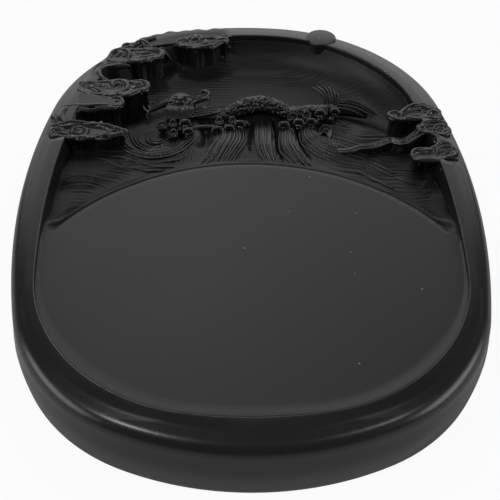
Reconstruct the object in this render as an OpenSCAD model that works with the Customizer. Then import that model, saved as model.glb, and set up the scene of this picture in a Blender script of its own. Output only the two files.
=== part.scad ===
// Oval ink stone with a sunk grinding surface at the front and an ink pool at
// the back, ringed by clouds, waves and a dragon carved in relief.
// The origin is under the middle of the stone. +Y points to the ink pool.

/* [Stone] */
// Length of the stone, front to back
stone_len = 200; // [180:1:240]
// Width of the stone
stone_w = 150; // [125:1:180]
// Height of the stone, from the underside to the rim's crest
stone_h = 21; // [19:0.5:26]
// Thickness of the stone under its carved features
base_t = 6; // [4:0.5:7]
// Height of the rounded lower edge
foot_h = 2; // [1:0.5:3]
// Height of the rounded shoulder under the rim's crest
shoulder_h = 6; // [4:0.5:8]

/* [Rim] */
// Width of the rim at the two sides
rim_side_w = 10.4; // [8:0.2:13]
// Width of the rim at the back
rim_back_w = 11.2; // [9:0.2:14]
// Width of the rim at the front
rim_front_w = 10.4; // [8:0.2:13]

/* [Grinding surface] */
// Drop from the rim's crest to the grinding surface
grind_drop = 1.6; // [0.8:0.1:3]
// Length of the grinding surface along the middle of the stone
grind_len = 100; // [83:1:120]
// Radius of the arc that ends the grinding surface
grind_r = 74; // [66:1:92]

/* [Ink pool] */
// Depth of the ink pool under the rim's crest
pool_depth = 11; // [9:0.1:13.4]
// Drop from the grinding surface to the wave bank behind it
bank_drop = 1.4; // [0.8:0.1:3]
// How far the wave bank reaches back from the grinding surface
bank_run = 32; // [28:1:32]
// Length of the nearly level top of the wave bank
bank_level = 22; // [16:1:26]

/* [Clouds] */
// Drop from the raised lip of a cloud to its dished top
dish_drop = 0.8; // [0.4:0.1:1.5]
// Width of the raised lip round a cloud
lip_w = 1.1; // [0.6:0.1:1.4]
// Radius of the curl that stands on a cloud's dished top
curl_r = 2.2; // [1.2:0.1:3]
// Width of the cloud ribbon
ribbon_w = 4; // [2.5:0.1:5]
// Drop from the rim's crest to the top of the cloud ribbon
ribbon_drop = 3.6; // [2.6:0.1:4.5]

/* [Pearl] */
// Diameter of the pearl on the rim at the back
pearl_d = 12; // [8:0.5:14]

/* [Dragon] */
// Radius of each arch of the body, to the middle of the body
arch_r = 7.8; // [6:0.1:9]
// Thickness of the body at the first arch
body_d = 5.2; // [4:0.1:6]
// Thickness of the body at the second arch, nearer to the tail
tail_d = 4.4; // [3:0.1:5]
// Diameter of the skull
skull_d = 8; // [6:0.1:9]
// Drop from the rim's crest to the top of the skull
head_drop = 1.4; // [0.4:0.1:3]
// Drop from the rim's crest to the top of the foreleg
leg_drop = 5; // [4.2:0.1:6]

/* [Waves] */
// Radius of the swirling wave on the left
swirl_r = 11; // [8:0.5:12]
// Steps from the swirling wave's edge to its middle
swirl_steps = 4; // [2:1:6]
// Height of the swirling wave over the wave bank
swirl_rise = 1.2; // [0.6:0.1:1.4]
// Radius of a foam ball
foam_r = 1.6; // [1:0.1:1.8]
// Gap between neighbouring foam balls of a group
foam_gap = 0.5; // [0.3:0.1:0.8]
// Drop from the rim's crest to the top of a foam ball
foam_drop = 3.4; // [2.6:0.1:4]

/* [Hidden] */

stone_colour = [0.16, 0.16, 0.16];
worn_colour = [0.24, 0.24, 0.24];
relief_colour = [0.2, 0.2, 0.2];

// Cutters reach this far past what they cut
past = 1;
// Facets of a small lobe, and of an arch's section
lobe_fn = 32;
// Thickness of the flat pads that forms stand on
pad_t = 0.2;

// Heights from the underside
crest_z = stone_h;
grind_z = stone_h - grind_drop;
bank_z = grind_z - bank_drop;
floor_z = stone_h - pool_depth;

// The carving was laid out on a stone of this size, and follows the real one
layout_w = 150;
layout_len = 200;
function across(x) = x*stone_w/layout_w;
function along(y) = y*stone_len/layout_len;

// Arcs of the outlines from the middle of the back to the middle of the front,
// each as a radius, the angle it turns and its number of steps
outer_arcs = [[114, 6.7, 2], [67, 73.2, 14], [239, 24.2, 5], [54.4, 53.4, 11], [94.1, 22.5, 5]];
pocket_arcs = [[98.8, 7.2, 2], [56, 73.7, 14], [312.5, 15.2, 5], [53.2, 77.3, 11], [140, 6.6, 5]];

// Points of a run of tangent arcs that turns clockwise, from point p, heading h degrees
function arc_run(arcs, p, h, i = 0) = i == len(arcs) ? [] : let(
    r = arcs[i][0],
    turn = arcs[i][1],
    steps = arcs[i][2],
    centre = [p.x + r*sin(h), p.y - r*cos(h)],
    run = [for (k = [1:steps]) centre + r*[-sin(h - turn*k/steps), cos(h - turn*k/steps)]]
  ) concat(run, arc_run(arcs, run[steps - 1], h - turn, i + 1));

// A whole outline, widened and lengthened to the given width and ends
function outline(arcs, w, back_y, front_y) = let(
    half = arc_run(arcs, [0, 0], 0),
    last = len(half) - 1,
    wide = max([for (p = half) p.x]),
    long = -half[last].y,
    right = [for (p = half) [p.x*w/2/wide, back_y + p.y*(back_y - front_y)/long]]
  ) concat(
    [[0, back_y]],
    [for (k = [0:last - 1]) right[k]],
    [[0, front_y]],
    [for (k = [last - 1:-1:0]) [-right[k].x, right[k].y]]
  );

pocket_back = stone_len/2 - rim_back_w;
pocket_front = -stone_len/2 + rim_front_w;
outer = outline(outer_arcs, stone_w, stone_len/2, -stone_len/2);
pocket = outline(pocket_arcs, stone_w - 2*rim_side_w, pocket_back, pocket_front);

// Far edge of the grinding surface, on the middle of the stone
edge_y = pocket_front + grind_len;

// Rings of the shell from the underside up to the crest: how far in from the
// outer outline towards the pocket, as a share of the rim's width, and the height
shell_rings = [
  [0.2, 0],
  [0.06, 0.3*foot_h],
  [0, foot_h],
  [0, crest_z - shoulder_h],
  [0.03, crest_z - 0.65*shoulder_h],
  [0.1, crest_z - 0.42*shoulder_h],
  [0.24, crest_z - 0.24*shoulder_h],
  [0.44, crest_z - 0.12*shoulder_h],
  [0.7, crest_z - 0.04*shoulder_h],
  [1, crest_z],
  [1, base_t]
];

// A closed skin over rings of equally many points, bottom ring first
module skin(rings) {
  count = len(rings[0]);
  top = len(rings) - 1;
  points = [for (ring = rings) each ring];
  sides = [for (j = [0:top - 1], k = [0:count - 1]) let(
      a = j*count + k,
      b = j*count + (k + 1)%count
    ) each [[a, b, b + count], [a, b + count, a + count]]];
  lower = [for (k = [count - 1:-1:0]) k];
  upper = [for (k = [0:count - 1]) top*count + k];
  polyhedron(points, concat([lower, upper], sides));
}

// Everything inside the pocket's wall between two heights
module pocket_fill(from_z, to_z) {
  translate([0, 0, from_z]) linear_extrude(to_z - from_z) polygon(pocket);
}

// The round end of the grinding surface, as a post through the pocket
module grind_round(from_z, to_z) {
  translate([0, edge_y - grind_r, from_z]) cylinder(h = to_z - from_z, r = grind_r, $fn = 180);
}

// A run of round lobes, each [x, y, radius], blended one into the next, in plan
module lobe_run(lobes, shrink = 0) {
  for (i = [0:len(lobes) - 2]) hull() {
    translate([lobes[i].x, lobes[i].y]) circle(lobes[i].z - shrink, $fn = lobe_fn);
    translate([lobes[i + 1].x, lobes[i + 1].y]) circle(lobes[i + 1].z - shrink, $fn = lobe_fn);
  }
}

// A run of lobes raised from the pool's floor to a height
module lobe_wall(lobes, top_z) {
  translate([0, 0, floor_z]) linear_extrude(top_z - floor_z) lobe_run(lobes);
}

// Places of the cloud lobes, which follow the stone's overall size
function on_stone(lobes) = [for (p = lobes) [across(p.x), along(p.y), p.z]];
low_lobes = on_stone([[-66, 25, 6], [-57, 26.5, 5.5], [-49, 27, 3.5], [-44, 26, 2.2]]);
middle_lobes = on_stone([[-66, 42, 6], [-57, 43, 4], [-50, 43.5, 3.4], [-47.5, 44.2, 3]]);
high_lobes = on_stone([[-58, 53, 6.5], [-50, 53.5, 6], [-44, 53, 4.5], [-38.5, 54, 2.6]]);
upper_lobes = on_stone([[-46, 74, 5.5], [-37, 75.5, 4.4], [-34.5, 75, 2.6]]);
back_lobes = on_stone([[-34, 82, 4.5], [-27, 85, 5], [-20, 84.5, 5.5], [-13, 85, 4.5], [-9.5, 85, 2.6]]);
right_high_lobes = on_stone([[68, 37, 4], [61, 38, 4.4], [55, 35.5, 2.6], [52.5, 35, 2.8]]);
right_middle_lobes = on_stone([[70, 30, 4], [65, 28.5, 4], [61, 28.5, 2.6]]);
right_low_lobes = on_stone([[68, 14, 4.4], [62, 13.5, 3.4], [58, 13.5, 3]]);
ribbon_lobes = on_stone([
  [61, 28, ribbon_w/2], [56, 26.5, ribbon_w/2], [49, 25.5, ribbon_w/2],
  [43, 22.5, ribbon_w/2], [34, 21, ribbon_w/2.6]
]);

// The dragon and the waves follow the far edge of the grinding surface, and
// their places are given from the middle of that edge
function from_edge(lobes) = [for (p = lobes) [across(p.x), edge_y + along(p.y), p.z]];
skull_at = from_edge([[-24, 39.5, skull_d/2]])[0];
arch_front_x = 3.8;
arch_back_x = 24.4;
arch_y = 35.5;
neck_end = from_edge([[arch_front_x, arch_y, 2.8]])[0] - [arch_r + 0.5, 0.5, 0];

// Parts of the head, given in skull diameters from the middle of the skull
function from_skull(lobes) = [
  for (p = lobes) [skull_at.x + p.x*skull_d, skull_at.y + p.y*skull_d, p.z]
];
snout_at = from_skull([[-0.875, -0.1875, skull_d/3.2]])[0];
jaw_lobes = from_skull([[-1.1875, -0.3125, 1.1], [-0.5, -0.5625, 1.8]]);
horn_lobes = from_skull([[0.6875, 0.125, 1.6], [1, 0.3125, 1.9], [1.1875, 0.625, 1.4]]);
beard_lobes = from_skull([[-0.0625, -0.4375, 2.6], [-0.125, -1, 4.4]]);
neck_start = from_skull([[0.75, -0.6875, 2.4]])[0];
neck_lobes = [neck_start, (neck_start + neck_end)/2, neck_end];
leg_lobes = from_edge([[-19.2, 27, 1.4], [-13, 28, 1.5]]);
plume_back_lobes = from_edge([[33, 40.5, 2], [32, 43, 2.2], [29, 46, 1.6]]);
plume_side_lobes = from_edge([[37.5, 38, 1.8], [42, 39.5, 1.6], [47, 37, 1.1]]);

// A group of foam balls: its places are in pitches from one ball that follows the layout
foam_pitch = 2*foam_r + foam_gap;
function foam_group(anchor, places) = [
  for (p = places) from_edge([[anchor.x, anchor.y, 0]])[0] + foam_pitch*[p.x, p.y, 0]
];
foam_left_at = foam_group([-25.8, 21.8], [[0, 0], [-1, 0.05], [1.03, -0.05], [-0.46, 1], [0.54, 0.92]]);
foam_middle_at = foam_group([-6.7, 26.2], [
  [-1.03, -0.05], [0, 0], [1.03, 0.05],
  [-0.62, -1.03], [0.41, -1.08], [1.43, -0.97]
]);
foam_right_at = foam_group([21.1, 25.4], [
  [-2.05, -0.16], [-1.03, 0.16], [0, 0], [1.03, 0.27], [2.08, -0.11],
  [-1.59, -1.14], [-0.51, -0.97], [0.57, -1.03], [1.59, -1.08]
]);
swirl_at = from_edge([[-30.5, 11, swirl_r]])[0];

// Outer shell with its foot, wall, rounded shoulder and rim, open over the pocket
module stone_body() {
  rings = [for (s = shell_rings) [for (k = [len(outer) - 1:-1:0])
    [outer[k].x*(1 - s[0]) + pocket[k].x*s[0], outer[k].y*(1 - s[0]) + pocket[k].y*s[0], s[1]]]];
  color(stone_colour) difference() {
    skin(rings);
    pearl_post(floor_z, crest_z + past);
  }
}

// The flat grinding surface, on its block of stone
module grinding_platform() {
  color(worn_colour) intersection() {
    pocket_fill(base_t, grind_z);
    grind_round(base_t - past, grind_z + past);
  }
}

// The floor of the ink pool
module pool_floor() {
  color(stone_colour) difference() {
    pocket_fill(base_t, floor_z);
    grind_round(base_t - past, floor_z + past);
  }
}

// The pearl's round post, on the rim and down the wall of the pool
module pearl_post(from_z, to_z) {
  translate([across(30.5), along(87.3), from_z]) cylinder(h = to_z - from_z, d = pearl_d, $fn = 72);
}

module pearl_disc() {
  color(relief_colour) pearl_post(floor_z, crest_z);
}

// A cloud tongue with a raised lip round a dished top, and a curl on the dish
module cloud_tongue(lobes, curl) {
  intersection() {
    pocket_fill(floor_z, crest_z);
    union() {
      difference() {
        lobe_wall(lobes, crest_z);
        translate([0, 0, crest_z - dish_drop]) linear_extrude(dish_drop + past) lobe_run(lobes, lip_w);
      }
      translate([lobes[curl].x, lobes[curl].y, crest_z - dish_drop - past])
        cylinder(h = dish_drop + past, r = curl_r, $fn = lobe_fn);
    }
  }
}

module cloud_left_low() {
  color(relief_colour) cloud_tongue(low_lobes, 1);
}

module cloud_left_middle() {
  color(relief_colour) difference() {
    cloud_tongue(middle_lobes, 1);
    lobe_wall(high_lobes, crest_z + past);
  }
}

module cloud_left_high() {
  color(relief_colour) cloud_tongue(high_lobes, 1);
}

module cloud_left_upper() {
  color(relief_colour) cloud_tongue(upper_lobes, 1);
}

module cloud_left_back() {
  color(relief_colour) difference() {
    cloud_tongue(back_lobes, 2);
    lobe_wall(upper_lobes, crest_z + past);
  }
}

module cloud_right_high() {
  color(relief_colour) cloud_tongue(right_high_lobes, 1);
}

module cloud_right_middle() {
  color(relief_colour) cloud_tongue(right_middle_lobes, 1);
}

module cloud_right_low() {
  color(relief_colour) cloud_tongue(right_low_lobes, 1);
}

// The ribbon that flows out of the middle cloud over the waves
module ribbon_form() {
  lobe_wall(ribbon_lobes, crest_z - ribbon_drop);
}

module cloud_ribbon() {
  color(relief_colour) difference() {
    intersection() {
      ribbon_form();
      pocket_fill(floor_z, crest_z);
    }
    lobe_wall(right_middle_lobes, crest_z + past);
    grind_round(floor_z - past, crest_z + past);
  }
}

// A form of the head: a ball at its height, blended down to a pad on the pool's floor
module standing_ball(at, top_z) {
  hull() {
    translate([at.x, at.y, top_z - at.z]) sphere(at.z, $fn = lobe_fn);
    translate([at.x, at.y, floor_z]) cylinder(h = pad_t, r = 0.8*at.z, $fn = lobe_fn);
  }
}

module head_form() {
  hull() {
    standing_ball(skull_at, crest_z - head_drop);
    standing_ball(snout_at, crest_z - head_drop - skull_d/4);
  }
}

module dragon_head() {
  color(relief_colour) head_form();
}

module jaw_form() {
  lobe_wall(jaw_lobes, crest_z - head_drop - skull_d/2);
}

module dragon_jaw() {
  color(relief_colour) difference() {
    jaw_form();
    head_form();
  }
}

module horn_form() {
  lobe_wall(horn_lobes, crest_z - head_drop);
}

module dragon_horn() {
  color(relief_colour) difference() {
    horn_form();
    head_form();
  }
}

module beard_form() {
  lobe_wall(beard_lobes, crest_z - head_drop - skull_d/4);
}

module dragon_beard() {
  color(relief_colour) difference() {
    beard_form();
    head_form();
    jaw_form();
    foam_posts(foam_left_at, past);
  }
}

// One arch of the body, rising from the pool's floor and back down to it
module arch_form(x, d) {
  translate([across(x), edge_y + along(arch_y), floor_z])
    rotate([90, 0, 0])
      rotate_extrude(angle = 180, $fn = 72)
        translate([arch_r, 0]) circle(d = d, $fn = 24);
}

module neck_form() {
  lobe_wall(neck_lobes, crest_z - head_drop - skull_d/3);
}

module dragon_neck() {
  color(relief_colour) difference() {
    neck_form();
    head_form();
    beard_form();
    arch_form(arch_front_x, body_d);
  }
}

module leg_form() {
  lobe_wall(leg_lobes, crest_z - leg_drop);
}

module dragon_foreleg() {
  color(relief_colour) difference() {
    leg_form();
    beard_form();
    foam_posts(foam_middle_at, past);
  }
}

module dragon_arch_front() {
  color(relief_colour) arch_form(arch_front_x, body_d);
}

module dragon_arch_back() {
  color(relief_colour) difference() {
    arch_form(arch_back_x, tail_d);
    arch_form(arch_front_x, body_d);
  }
}

module plume_back_form() {
  lobe_wall(plume_back_lobes, crest_z - 2*head_drop);
}

module tail_plume_back() {
  color(relief_colour) difference() {
    plume_back_form();
    arch_form(arch_back_x, tail_d);
  }
}

module plume_side_form() {
  lobe_wall(plume_side_lobes, crest_z - 4*head_drop);
}

module tail_plume_side() {
  color(relief_colour) difference() {
    plume_side_form();
    arch_form(arch_back_x, tail_d);
    plume_back_form();
  }
}

// A foam ball on its round stem, drawn as one turned shape
module foam_ball(at, rise) {
  stem_h = crest_z - foam_drop - foam_r - floor_z;
  translate([at.x, at.y, floor_z]) rotate_extrude($fn = 24) {
    square([foam_r, stem_h + (rise > 0 ? foam_r + rise : 0)]);
    translate([0, stem_h]) intersection() {
      circle(foam_r, $fn = 24);
      square(foam_r);
    }
  }
}

// A group of foam balls, or with a rise the straight posts that clear them
module foam_posts(places, rise = 0) {
  for (at = places) foam_ball(at, rise);
}

module foam_left() {
  color(relief_colour) foam_posts(foam_left_at);
}

module foam_middle() {
  color(relief_colour) foam_posts(foam_middle_at);
}

module foam_right() {
  color(relief_colour) foam_posts(foam_right_at);
}

// The swirling wave, as low steps that rise to its middle
module swirl_form() {
  step_r = swirl_r/swirl_steps;
  step_h = swirl_rise/swirl_steps;
  for (k = [0:swirl_steps - 1])
    translate([swirl_at.x, swirl_at.y, floor_z])
      cylinder(h = bank_z - floor_z + step_h*(k + 1), r = swirl_r - step_r*k, $fn = 72);
}

module wave_swirl() {
  color(relief_colour) difference() {
    swirl_form();
    grind_round(floor_z - past, crest_z);
    foam_posts(foam_left_at, past);
    beard_form();
    lobe_wall(low_lobes, crest_z + past);
  }
}

// Side view of the wave bank: level behind the grinding surface, then a slope
// down to the pool's floor
module bank_slope() {
  rotate([90, 0, 90])
    translate([0, 0, -stone_w/2])
      linear_extrude(stone_w)
        polygon([
          [edge_y - grind_r, floor_z],
          [edge_y - grind_r, bank_z],
          [edge_y + bank_level, bank_z - bank_drop],
          [edge_y + bank_run, floor_z + pad_t],
          [edge_y + bank_run, floor_z]
        ]);
}

// The bank of waves between the grinding surface and the pool, cut out for
// every carving that stands in it
module wave_bank() {
  color(stone_colour) intersection() {
    bank_slope();
    translate([0, 0, floor_z]) linear_extrude(crest_z - floor_z) difference() {
      polygon(pocket);
      translate([0, edge_y - grind_r]) circle(grind_r, $fn = 180);
      translate([swirl_at.x, swirl_at.y]) circle(swirl_r, $fn = 72);
      lobe_run(low_lobes);
      lobe_run(middle_lobes);
      lobe_run(high_lobes);
      lobe_run(right_high_lobes);
      lobe_run(right_middle_lobes);
      lobe_run(right_low_lobes);
      lobe_run(ribbon_lobes);
      lobe_run(beard_lobes);
      lobe_run(neck_lobes);
      lobe_run(leg_lobes);
      for (at = concat(foam_left_at, foam_middle_at, foam_right_at))
        translate([at.x, at.y]) circle(foam_r, $fn = 24);
    }
  }
}

stone_body();
grinding_platform();
pool_floor();
wave_bank();
wave_swirl();
pearl_disc();
cloud_left_low();
cloud_left_middle();
cloud_left_high();
cloud_left_upper();
cloud_left_back();
cloud_right_high();
cloud_right_middle();
cloud_right_low();
cloud_ribbon();
dragon_head();
dragon_jaw();
dragon_horn();
dragon_beard();
dragon_neck();
dragon_foreleg();
dragon_arch_front();
dragon_arch_back();
tail_plume_back();
tail_plume_side();
foam_left();
foam_middle();
foam_right();
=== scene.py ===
import math

import bpy
import numpy as np
from mathutils import Matrix, Vector


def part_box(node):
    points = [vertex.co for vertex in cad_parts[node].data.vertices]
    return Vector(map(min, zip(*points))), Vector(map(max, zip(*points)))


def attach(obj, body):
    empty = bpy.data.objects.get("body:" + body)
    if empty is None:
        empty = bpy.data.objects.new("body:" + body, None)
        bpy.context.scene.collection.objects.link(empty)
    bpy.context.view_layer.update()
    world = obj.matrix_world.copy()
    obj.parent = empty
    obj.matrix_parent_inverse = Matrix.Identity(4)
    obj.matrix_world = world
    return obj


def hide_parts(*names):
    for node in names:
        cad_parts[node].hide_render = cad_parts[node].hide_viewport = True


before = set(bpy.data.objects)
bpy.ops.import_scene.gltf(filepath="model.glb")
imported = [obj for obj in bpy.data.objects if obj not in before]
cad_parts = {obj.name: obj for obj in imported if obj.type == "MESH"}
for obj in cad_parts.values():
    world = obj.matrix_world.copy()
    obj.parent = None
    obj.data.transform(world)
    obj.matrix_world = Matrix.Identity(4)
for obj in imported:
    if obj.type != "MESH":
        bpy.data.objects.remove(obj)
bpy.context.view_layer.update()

MM = 0.001

# Sizes of the stone, read from the frame, in millimetres
stone_high = np.array(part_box("stone_body")[1])/MM
pocket_low, pocket_high = [np.array(corner)/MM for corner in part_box("pool_floor")]
grind_low, grind_high = [np.array(corner)/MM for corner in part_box("grinding_platform")]
pearl_low, pearl_high = [np.array(corner)/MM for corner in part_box("pearl_disc")]
CREST = stone_high[2]
GRIND = grind_high[2]
POOL = pocket_high[2]
BASE = pocket_low[2]
HALF_W = stone_high[0]
HALF_LEN = stone_high[1]
POCKET_HALF_W = pocket_high[0]
POCKET_BACK = pocket_high[1]
POCKET_FRONT = grind_low[1]
EDGE_Y = grind_high[1]
# The grinding surface's far edge: an arc, rounded over, whose ends turn level to meet the wall
GRIND_R = 74.0
EDGE_ROLL = 2.6
EDGE_TAIL, TAIL_START, TAIL_END = 2.4, 60.5, 65
GRIND_MIDDLE = np.array([-0.4, EDGE_Y - GRIND_R])

# Arcs of the two outlines from the middle of the back to the middle of the front: radius in millimetres,
# angle turned in degrees, points along it
OUTER_ARCS = [(114, 6.7, 16), (67, 73.2, 120), (239, 24.2, 40), (54.4, 53.4, 88), (94.1, 22.5, 40)]
POCKET_ARCS = [(98.8, 7.2, 16), (56, 73.7, 120), (312.5, 15.2, 40), (53.2, 77.3, 88), (140, 6.6, 40)]


def arc_run(arcs):
    """Points along tangent arcs that turn clockwise from the origin, heading along +X."""
    points, place, heading = [(0.0, 0.0)], np.zeros(2), 0.0
    for radius, turn, steps in arcs:
        centre = place + radius*np.array([math.sin(heading), -math.cos(heading)])
        for k in range(1, steps + 1):
            h = heading - math.radians(turn)*k/steps
            points.append(tuple(centre + radius*np.array([-math.sin(h), math.cos(h)])))
        place, heading = np.array(points[-1]), h
    return np.array(points)


def outline(arcs, half_w, back, front):
    """A closed outline, anticlockwise from the middle of the back, as points and outward normals."""
    right = arc_run(arcs)
    right[:, 0] *= half_w/right[:, 0].max()
    right[:, 1] = back + right[:, 1]*(back - front)/-right[-1, 1]
    right[-1, 0] = 0
    left = right[1:-1].copy()
    left[:, 0] *= -1
    points = np.vstack([right[:1], left, right[-1:], right[-2:0:-1]])
    along = np.roll(points, -1, axis=0) - np.roll(points, 1, axis=0)
    along /= np.linalg.norm(along, axis=1)[:, None]
    return points, np.column_stack([along[:, 1], -along[:, 0]])


OUTER, OUTER_OUT = outline(OUTER_ARCS, HALF_W, HALF_LEN, -HALF_LEN)
POCKET, POCKET_OUT = outline(POCKET_ARCS, POCKET_HALF_W, POCKET_BACK, POCKET_FRONT)
# The wall's outline as carved, with bays between the clouds: place, half length and depth
BAYS = [((-54, 64), 4.6, 3.4), ((62.6, 20.8), 3.6, 2.8)]
CARVED_WALL = POCKET.copy()
for place, half_long, depth in BAYS:
    bay_reach = np.hypot(*(POCKET - place).T)
    CARVED_WALL += POCKET_OUT*(depth*np.exp(-(bay_reach/half_long)**4))[:, None]


def smooth(low, high, value):
    """Eases from 0 at low to 1 at high."""
    t = np.clip((np.asarray(value, float) - low)/(high - low), 0, 1)
    return t*t*(3 - 2*t)


def wave(at, length, phase=0.0):
    """A sine wave of this length."""
    return np.sin(2*math.pi*at/length + phase)


def hump(off, half_width):
    """1 where off is 0, fading away on both sides."""
    return np.exp(-(off/half_width)**2)


def uneven(x, y, size, seed, waves=7):
    """Smooth unevenness between about -1 and 1: sine waves of about one size in random directions."""
    rng = np.random.default_rng(seed)
    total = np.zeros(np.shape(x))
    for _ in range(waves):
        turn, phase = rng.uniform(0, 2*math.pi, 2)
        length = size*rng.uniform(0.7, 1.6)
        total = total + wave(x*math.cos(turn) + y*math.sin(turn), length, phase)
    return total/math.sqrt(waves)*0.8


# Modelling helpers

def deselect():
    if bpy.context.object and bpy.context.object.mode != "OBJECT":
        bpy.ops.object.mode_set(mode="OBJECT")
    bpy.ops.object.select_all(action="DESELECT")


def named(name):
    """Names the new active object and its mesh."""
    piece = bpy.context.object
    piece.name = piece.data.name = name
    return piece


def grid_piece(name, corners):
    """A grid primitive whose corners, rows by columns, are moved to their places in millimetres."""
    rows, columns = corners.shape[:2]
    deselect()
    bpy.ops.mesh.primitive_grid_add(x_subdivisions=columns - 1, y_subdivisions=rows - 1, size=1)
    piece = named(name)
    flat = np.empty(len(piece.data.vertices)*3)
    piece.data.vertices.foreach_get("co", flat)
    flat = flat.reshape(-1, 3)
    column = np.rint((flat[:, 0] + 0.5)*(columns - 1)).astype(int)
    row = np.rint((flat[:, 1] + 0.5)*(rows - 1)).astype(int)
    piece.data.vertices.foreach_set("co", (corners[row, column]*MM).ravel())
    piece.data.update()
    return piece


def ring(plan, height):
    """Plan points at one height or at a height each."""
    return np.column_stack([plan, np.full(len(plan), height)])


def wrapped_skin(name, rings):
    """A closed skin over rings of points: a grid wrapped round, its seam merged and its ends filled."""
    rings = np.asarray(rings, float)
    piece = grid_piece(name, np.concatenate([rings, rings[:, :1]], axis=1))
    bpy.ops.object.mode_set(mode="EDIT")
    bpy.ops.mesh.select_all(action="SELECT")
    bpy.ops.mesh.remove_doubles(threshold=1e-6)
    bpy.ops.mesh.fill_holes(sides=0)
    bpy.ops.mesh.select_all(action="SELECT")
    bpy.ops.mesh.normals_make_consistent(inside=False)
    bpy.ops.object.mode_set(mode="OBJECT")
    return piece


def round_ends(path):
    """Adds small points past both ends of a strand, so that it ends in a dome."""
    path = np.array(path, float)
    for end, beside in ((0, 1), (-1, -2)):
        away = path[end, :3] - path[beside, :3]
        away /= np.linalg.norm(away)
        radius = path[end, 3]
        dome = [(*(path[end, :3] + away*radius*far), share*radius)
                for far, share in ((0.6, 0.75), (0.95, 0.1))]
        path = np.vstack([dome[::-1], path]) if end == 0 else np.vstack([path, dome])
    return path


def strands(name, paths, sides=2, steps=4):
    """Round tapered strands along given points (x, y, z, radius) in millimetres, as one mesh."""
    deselect()
    bpy.ops.curve.primitive_nurbs_path_add()
    curve = bpy.context.object.data
    curve.splines.clear()
    for path in map(round_ends, paths):
        spline = curve.splines.new("NURBS")
        spline.points.add(len(path) - 1)
        for point, (x, y, z, radius) in zip(spline.points, path):
            point.co = (x*MM, y*MM, z*MM, 1)
            point.radius = radius
        spline.order_u = min(3, len(path))
        spline.use_endpoint_u = True
        spline.resolution_u = steps
    curve.bevel_depth = MM
    curve.bevel_resolution = sides
    curve.use_fill_caps = True
    bpy.ops.object.transform_apply()
    bpy.ops.object.convert(target="MESH")
    return named(name)


def lump(x, y, z, size, turn=(0, 0, 0), rings=10):
    """A round body stretched to its size and turned."""
    size = (size, size, size) if np.isscalar(size) else size
    deselect()
    bpy.ops.mesh.primitive_uv_sphere_add(segments=2*rings, ring_count=rings, radius=MM,
                                         location=(x*MM, y*MM, z*MM), scale=size,
                                         rotation=[math.radians(a) for a in turn])
    bpy.ops.object.transform_apply()
    return bpy.context.object


def fuse(name, parts, voxel, softening):
    """Joins overlapping parts into one carved surface, its creases slightly softened."""
    deselect()
    for part in parts:
        part.select_set(True)
    bpy.context.view_layer.objects.active = parts[0]
    bpy.ops.object.join()
    piece = named(name)
    remesh = piece.modifiers.new("fuse", "REMESH")
    remesh.mode = "VOXEL"
    remesh.voxel_size = voxel*MM
    bpy.ops.object.modifier_apply(modifier="fuse")
    if softening:
        soften = piece.modifiers.new("soften", "SMOOTH")
        soften.factor = 0.5
        soften.iterations = softening
        bpy.ops.object.modifier_apply(modifier="soften")
    return piece


# Voxels in millimetres: clouds, then smaller carving, then the dragon
CLOUD_VOXEL, SMALL_VOXEL, DRAGON_VOXEL = 0.22, 0.2, 0.18


def finish_piece(piece, material, slot, *nodes, angle=None):
    """Shades a piece, gives it its material, hangs it under the root body and hides the frame's parts that it
    stands for.
    """
    deselect()
    piece.select_set(True)
    bpy.context.view_layer.objects.active = piece
    if angle is None:
        bpy.ops.object.shade_smooth()
    else:
        bpy.ops.object.shade_smooth_by_angle(angle=math.radians(angle))
    piece.data.materials.clear()
    piece.data.materials.append(material)
    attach(piece, "root")
    if nodes:
        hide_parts(*nodes)
    return piece


# Materials

def feed(node, **inputs):
    """Sets a node's inputs, each named with _ for a space, to a value or to the output that feeds it."""
    for name, value in inputs.items():
        socket = node.inputs[name.replace("_", " ")]
        if isinstance(value, bpy.types.NodeSocket):
            node.id_data.links.new(value, socket)
        else:
            socket.default_value = value


def add_node(tree, kind, **inputs):
    """Adds a shader node with these inputs."""
    node = tree.nodes.new("ShaderNode" + kind)
    feed(node, **inputs)
    return node


def grey(value):
    return value, value, value, 1


def stone_material(name, dark, light, rough, grain, bump, ior=1.5):
    """Near-black stone: cloudy grey, fine grain, a satin gloss and a few pale specks."""
    material = bpy.data.materials.new(name)
    material.use_nodes = True
    tree = material.node_tree
    place = add_node(tree, "TexCoord").outputs["Object"]
    cloud = add_node(tree, "TexNoise", Vector=place, Scale=38, Detail=6, Roughness=0.6).outputs["Fac"]
    tone = add_node(tree, "ValToRGB", Fac=cloud)
    for stop, at, value in zip(tone.color_ramp.elements, (0.32, 0.72), (dark, light)):
        stop.position, stop.color = at, grey(value)
    fine = add_node(tree, "TexNoise", Vector=place, Scale=grain, Detail=4).outputs["Fac"]
    relief = add_node(tree, "Bump", Height=fine, Strength=bump, Distance=0.0002)
    gloss = add_node(tree, "MapRange", Value=cloud, To_Min=rough - 0.05, To_Max=rough + 0.06)
    # a pale speck where the surface passes close to the middle of a cell
    cells = add_node(tree, "TexVoronoi", Vector=place, Scale=90)
    near = add_node(tree, "Math")
    near.operation = "LESS_THAN"
    near.inputs[1].default_value = 0.03
    tree.links.new(cells.outputs["Distance"], near.inputs[0])
    speckle = add_node(tree, "Mix")
    speckle.data_type = "RGBA"
    feed(speckle, Factor=near.outputs["Value"], A=tone.outputs["Color"], B=grey(0.16))
    feed(tree.nodes["Principled BSDF"], Base_Color=speckle.outputs["Result"],
         Roughness=gloss.outputs["Result"], Normal=relief.outputs["Normal"], IOR=ior)
    return material


POLISHED = stone_material("polished_stone", 0.008, 0.012, 0.28, 900, 0.08)
HONED = stone_material("honed_stone", 0.0135, 0.0165, 0.48, 1400, 0.1)
CARVED = stone_material("carved_stone", 0.007, 0.012, 0.27, 1100, 0.14)
# The pool's stone is rougher and darker; on the pocket's wall its darker colour is painted shade
FLOOR = stone_material("pool_stone", 0.004, 0.007, 0.46, 700, 0.3, ior=1.4)


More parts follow.
